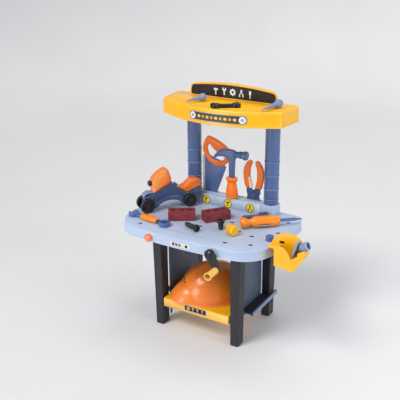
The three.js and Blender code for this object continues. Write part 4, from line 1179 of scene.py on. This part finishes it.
def scooter_wheels():
    for end in AXLES:
        refined(f"scooter_axle_{end}", "silver", 0.4)
    for end, (x, radius) in AXLES.items():
        outside = [
            (3.3, 4.5), (6, 4.5), (6.6, 5.2), (8, 5.2), (8.6, 4.2), (radius - 6.4, 4.2), (radius - 5.4, 5.5),
            (radius - 2.2, 5.5), (radius, 3.2),
        ]
        section = [(r, -z) for r, z in outside] + outside[::-1]
        for side, y, outward in (("near", -TRACK, 1), ("far", TRACK, -1)):
            tyre = turned(section, 120, 0.5, ring=True, shape=knurled(0.018, 30, radius - 1.2))
            place = SCOOTER @ shift(x, y, radius)
            node = f"scooter_wheel_{end}_{side}"
            remade(f"tyre_{end}_{side}", moved(tyre, UPRIGHT, place), "tyre", node)
            cap = turned([(0, 5), (5.2, 5), (5.2, 7.4), (4.2, 8.2), (2.4, 8.2), (2, 7.6), (0, 7.6)], 40, 0.3)
            cap = moved(cap, scaled(1, 1, outward), UPRIGHT, place)
            show(f"hub_{end}_{side}", cap, "charcoal", node)


# ---- helmet ----
HELMET = placed(2, -30, 90.3, 228)
DOME_LENGTH = 104
DOME_WIDTH = 85
DOME_HEIGHT = 95
HELMET_WALL = 3
VISOR_HALF_WIDTH = 62
VISOR_RISE = 46
VISOR_REACH = 131
VISOR_SWEEP = 59
VISOR_EDGE = 3.2


def ridge_lift(y, z):
    """The raised bands that run over the dome from front to back."""
    def band(centre, half):
        return max(0.0, 1 - ((abs(y) - centre) / half) ** 4)

    return (1.8 * band(0, 12) + 1.0 * band(34, 5)) * min(1, max(0, (z - 46) / 18))


def helmet_dome():
    rings_painted_highlight = 44
    loops = []
    for wall, order in ((HELMET_WALL, range(rings_painted_highlight + 1)), (0, reversed(range(rings_painted_highlight + 1)))):
        for i in order:
            rise = pi / 2 * (1 - i / rings_painted_highlight)
            out, up = max(0.002, cos(rise)), (DOME_HEIGHT - wall) * sin(rise)
            loop = [Vector(((DOME_LENGTH - wall) * out * cos(a), (DOME_WIDTH - wall) * out * sin(a), up))
                    for a in around(160)]
            if not wall:
                loop = [p + p.normalized() * ridge_lift(p.y, p.z) for p in loop]
            loops.append(loop)
    return loft(loops)


def dome_point(y, z, lift):
    """The point of the dome's front half at (y, z), on a dome that is larger by lift."""
    inside = 1 - (y / (DOME_WIDTH + lift)) ** 2 - (z / (DOME_HEIGHT + lift)) ** 2
    return Vector(((DOME_LENGTH + lift) * sqrt(max(0, inside)), y, z))


def visor_line(u):
    """The visor's section at u (-1 to 1 across): root on the dome, point it bulges towards, and edge."""
    y = VISOR_HALF_WIDTH * u
    rise = VISOR_RISE * max(0, 1 - abs(u) ** 2.2) ** 0.7
    root = dome_point(y, rise, -1.6)
    rim = Vector((VISOR_REACH - VISOR_SWEEP * abs(u) ** 2.7, y, VISOR_EDGE))
    bulge = Vector((root.x + 0.56 * (rim.x - root.x), y, 3 + 0.70 * rise))
    return root, bulge, rim


def dome_line(first, last, above, count=14):
    """Points on the dome just above the root of the visor, between two places across it."""
    points = []
    for k in range(count + 1):
        root = visor_line(first + (last - first) * k / count)[0]
        points.append(dome_point(root.y, root.z + above, 0.6))
    return points


def helmet_visor():
    steps, across = 14, 48
    loops = []
    for k in range(across + 1):
        root, bulge, rim = visor_line(-0.985 + 1.97 * k / across)
        outer = []
        for step in range(steps + 1):
            t = step / steps
            outer.append(root.lerp(bulge, t).lerp(bulge.lerp(rim, t), t))
        outer.append(rim - Vector((0, 0, rim.z)))
        inner = [p - Vector((HELMET_WALL, 0, min(HELMET_WALL, 0.4 * p.z))) for p in reversed(outer[:-1])]
        inner[0].z = 0
        loops.append(outer + inner)
    return loft(loops)


def helmet():
    remade("helmet_shell", moved(helmet_dome(), HELMET), "helmet", "helmet", 60)
    rim = turned([(0.985, 0), (1.05, 0), (1.05, 0.8), (1.044, 3.6), (1.03, 4), (0.985, 4)], 120, 0, ring=True)
    show("helmet_rim", moved(rim, scaled(DOME_LENGTH, DOME_WIDTH, 1), HELMET), "helmet", "helmet")
    show("helmet_peak", moved(helmet_visor(), HELMET), "helmet", "helmet", 50)
    seam = [1.016 * visor_line(-0.62 + 1.24 * k / 30)[0] for k in range(31)]
    show("helmet_seam", moved(tube(seam, 1.6), HELMET), "helmet", "helmet")
    emblem = merged(tube(dome_line(-0.30, 0.02, 7), 1.3, 10), tube(dome_line(-0.02, 0.20, 3), 1.3, 10))
    show("helmet_emblem", moved(emblem, HELMET), "brown_foil", "helmet")


# ---- floor, light and camera, in metres ----
AIM = Vector((0, 0, 0.33))
CAMERA_AIM = ORIGIN + Vector((0, 0, 0.32765))
CAMERA_AROUND = radians(29.86)
CAMERA_ABOVE = radians(22.15)
CAMERA_DISTANCE = 1.979
FLOOR_GAP = 0.0005


def ground():
    """A round floor whose edge sweeps up."""
    n = Nodes("floor_paint")
    paint = n.mix(n.noise(3.0, 6.0), (0.74, 0.74, 0.75, 1.0), (0.80, 0.80, 0.80, 1.0))
    n.feed(n.shader, {"Base Color": paint, "Roughness": 0.65})
    sweep = rounded(corners((0.001, 0), (3.4, 0), (4.0, 2.4)), 0.7, 8, closed=False)
    rings_painted_highlight = [[(*c, p.y - FLOOR_GAP) for c in circle(p.x, count=96)] for p in sweep]
    made = object_of(loft(rings_painted_highlight, caps=False))
    made.name = "floor"
    made.data.shade_smooth()
    made.data.materials.append(n.material)


def sky():
    world = bpy.data.worlds.new("room")
    world.use_nodes = True
    world.node_tree.nodes["Background"].inputs["Color"].default_value = (0.86, 0.90, 1.0, 1.0)
    world.node_tree.nodes["Background"].inputs["Strength"].default_value = 0.36
    bpy.context.scene.world = world


def lights():
    for name, kind, place, size, power, color in (
        ("key", "SUN", (-0.55, -1.25, 2.1), 0.40, 1.65, (1.0, 0.98, 0.95)),
        ("side", "AREA", (2.3, -0.3, 1.0), 0.9, 16, (0.94, 0.97, 1.0)),
        ("front", "AREA", (-0.9, -2.4, 0.7), 1.0, 18, (1.0, 0.97, 0.94)),
        ("top", "AREA", (0.3, 0.5, 2.4), 1.2, 12, (1.0, 1.0, 1.0)),
    ):
        light = bpy.data.lights.new(name, kind)
        light.energy = power
        light.color = color
        if kind == "SUN":
            light.angle = size
        else:
            light.size = size
        lamp = bpy.data.objects.new(name, light)
        lamp.location = place
        lamp.rotation_euler = (AIM - Vector(place)).to_track_quat("-Z", "Y").to_euler()
        bpy.context.scene.collection.objects.link(lamp)


def view():
    camera = bpy.data.objects.new("camera", bpy.data.cameras.new("camera"))
    level = cos(CAMERA_ABOVE)
    out = Vector((sin(CAMERA_AROUND) * level, -cos(CAMERA_AROUND) * level, sin(CAMERA_ABOVE)))
    camera.location = CAMERA_AIM + CAMERA_DISTANCE * out
    camera.rotation_euler = (-out).to_track_quat("-Z", "Y").to_euler()
    camera.data.lens = 63.2
    camera.data.shift_x = -0.047
    camera.data.shift_y = 0.0315
    bpy.context.scene.collection.objects.link(camera)
    bpy.context.scene.camera = camera
    bpy.context.scene.view_settings.view_transform = "Standard"


for make in (
    ground, sky, lights, view, worktop, skirt_label, stand, tool_rail, columns, top_shelf, shelf_badge,
    sign_board, skirt_knob, crank, vise, saw, hammer, pliers, spanner, screwdriver, flat_bar, bricks,
    loose_hardware, shelf_things, scooter_frame, scooter_cowl, scooter_seat, scooter_front, scooter_wheels,
    helmet,
):
    make()
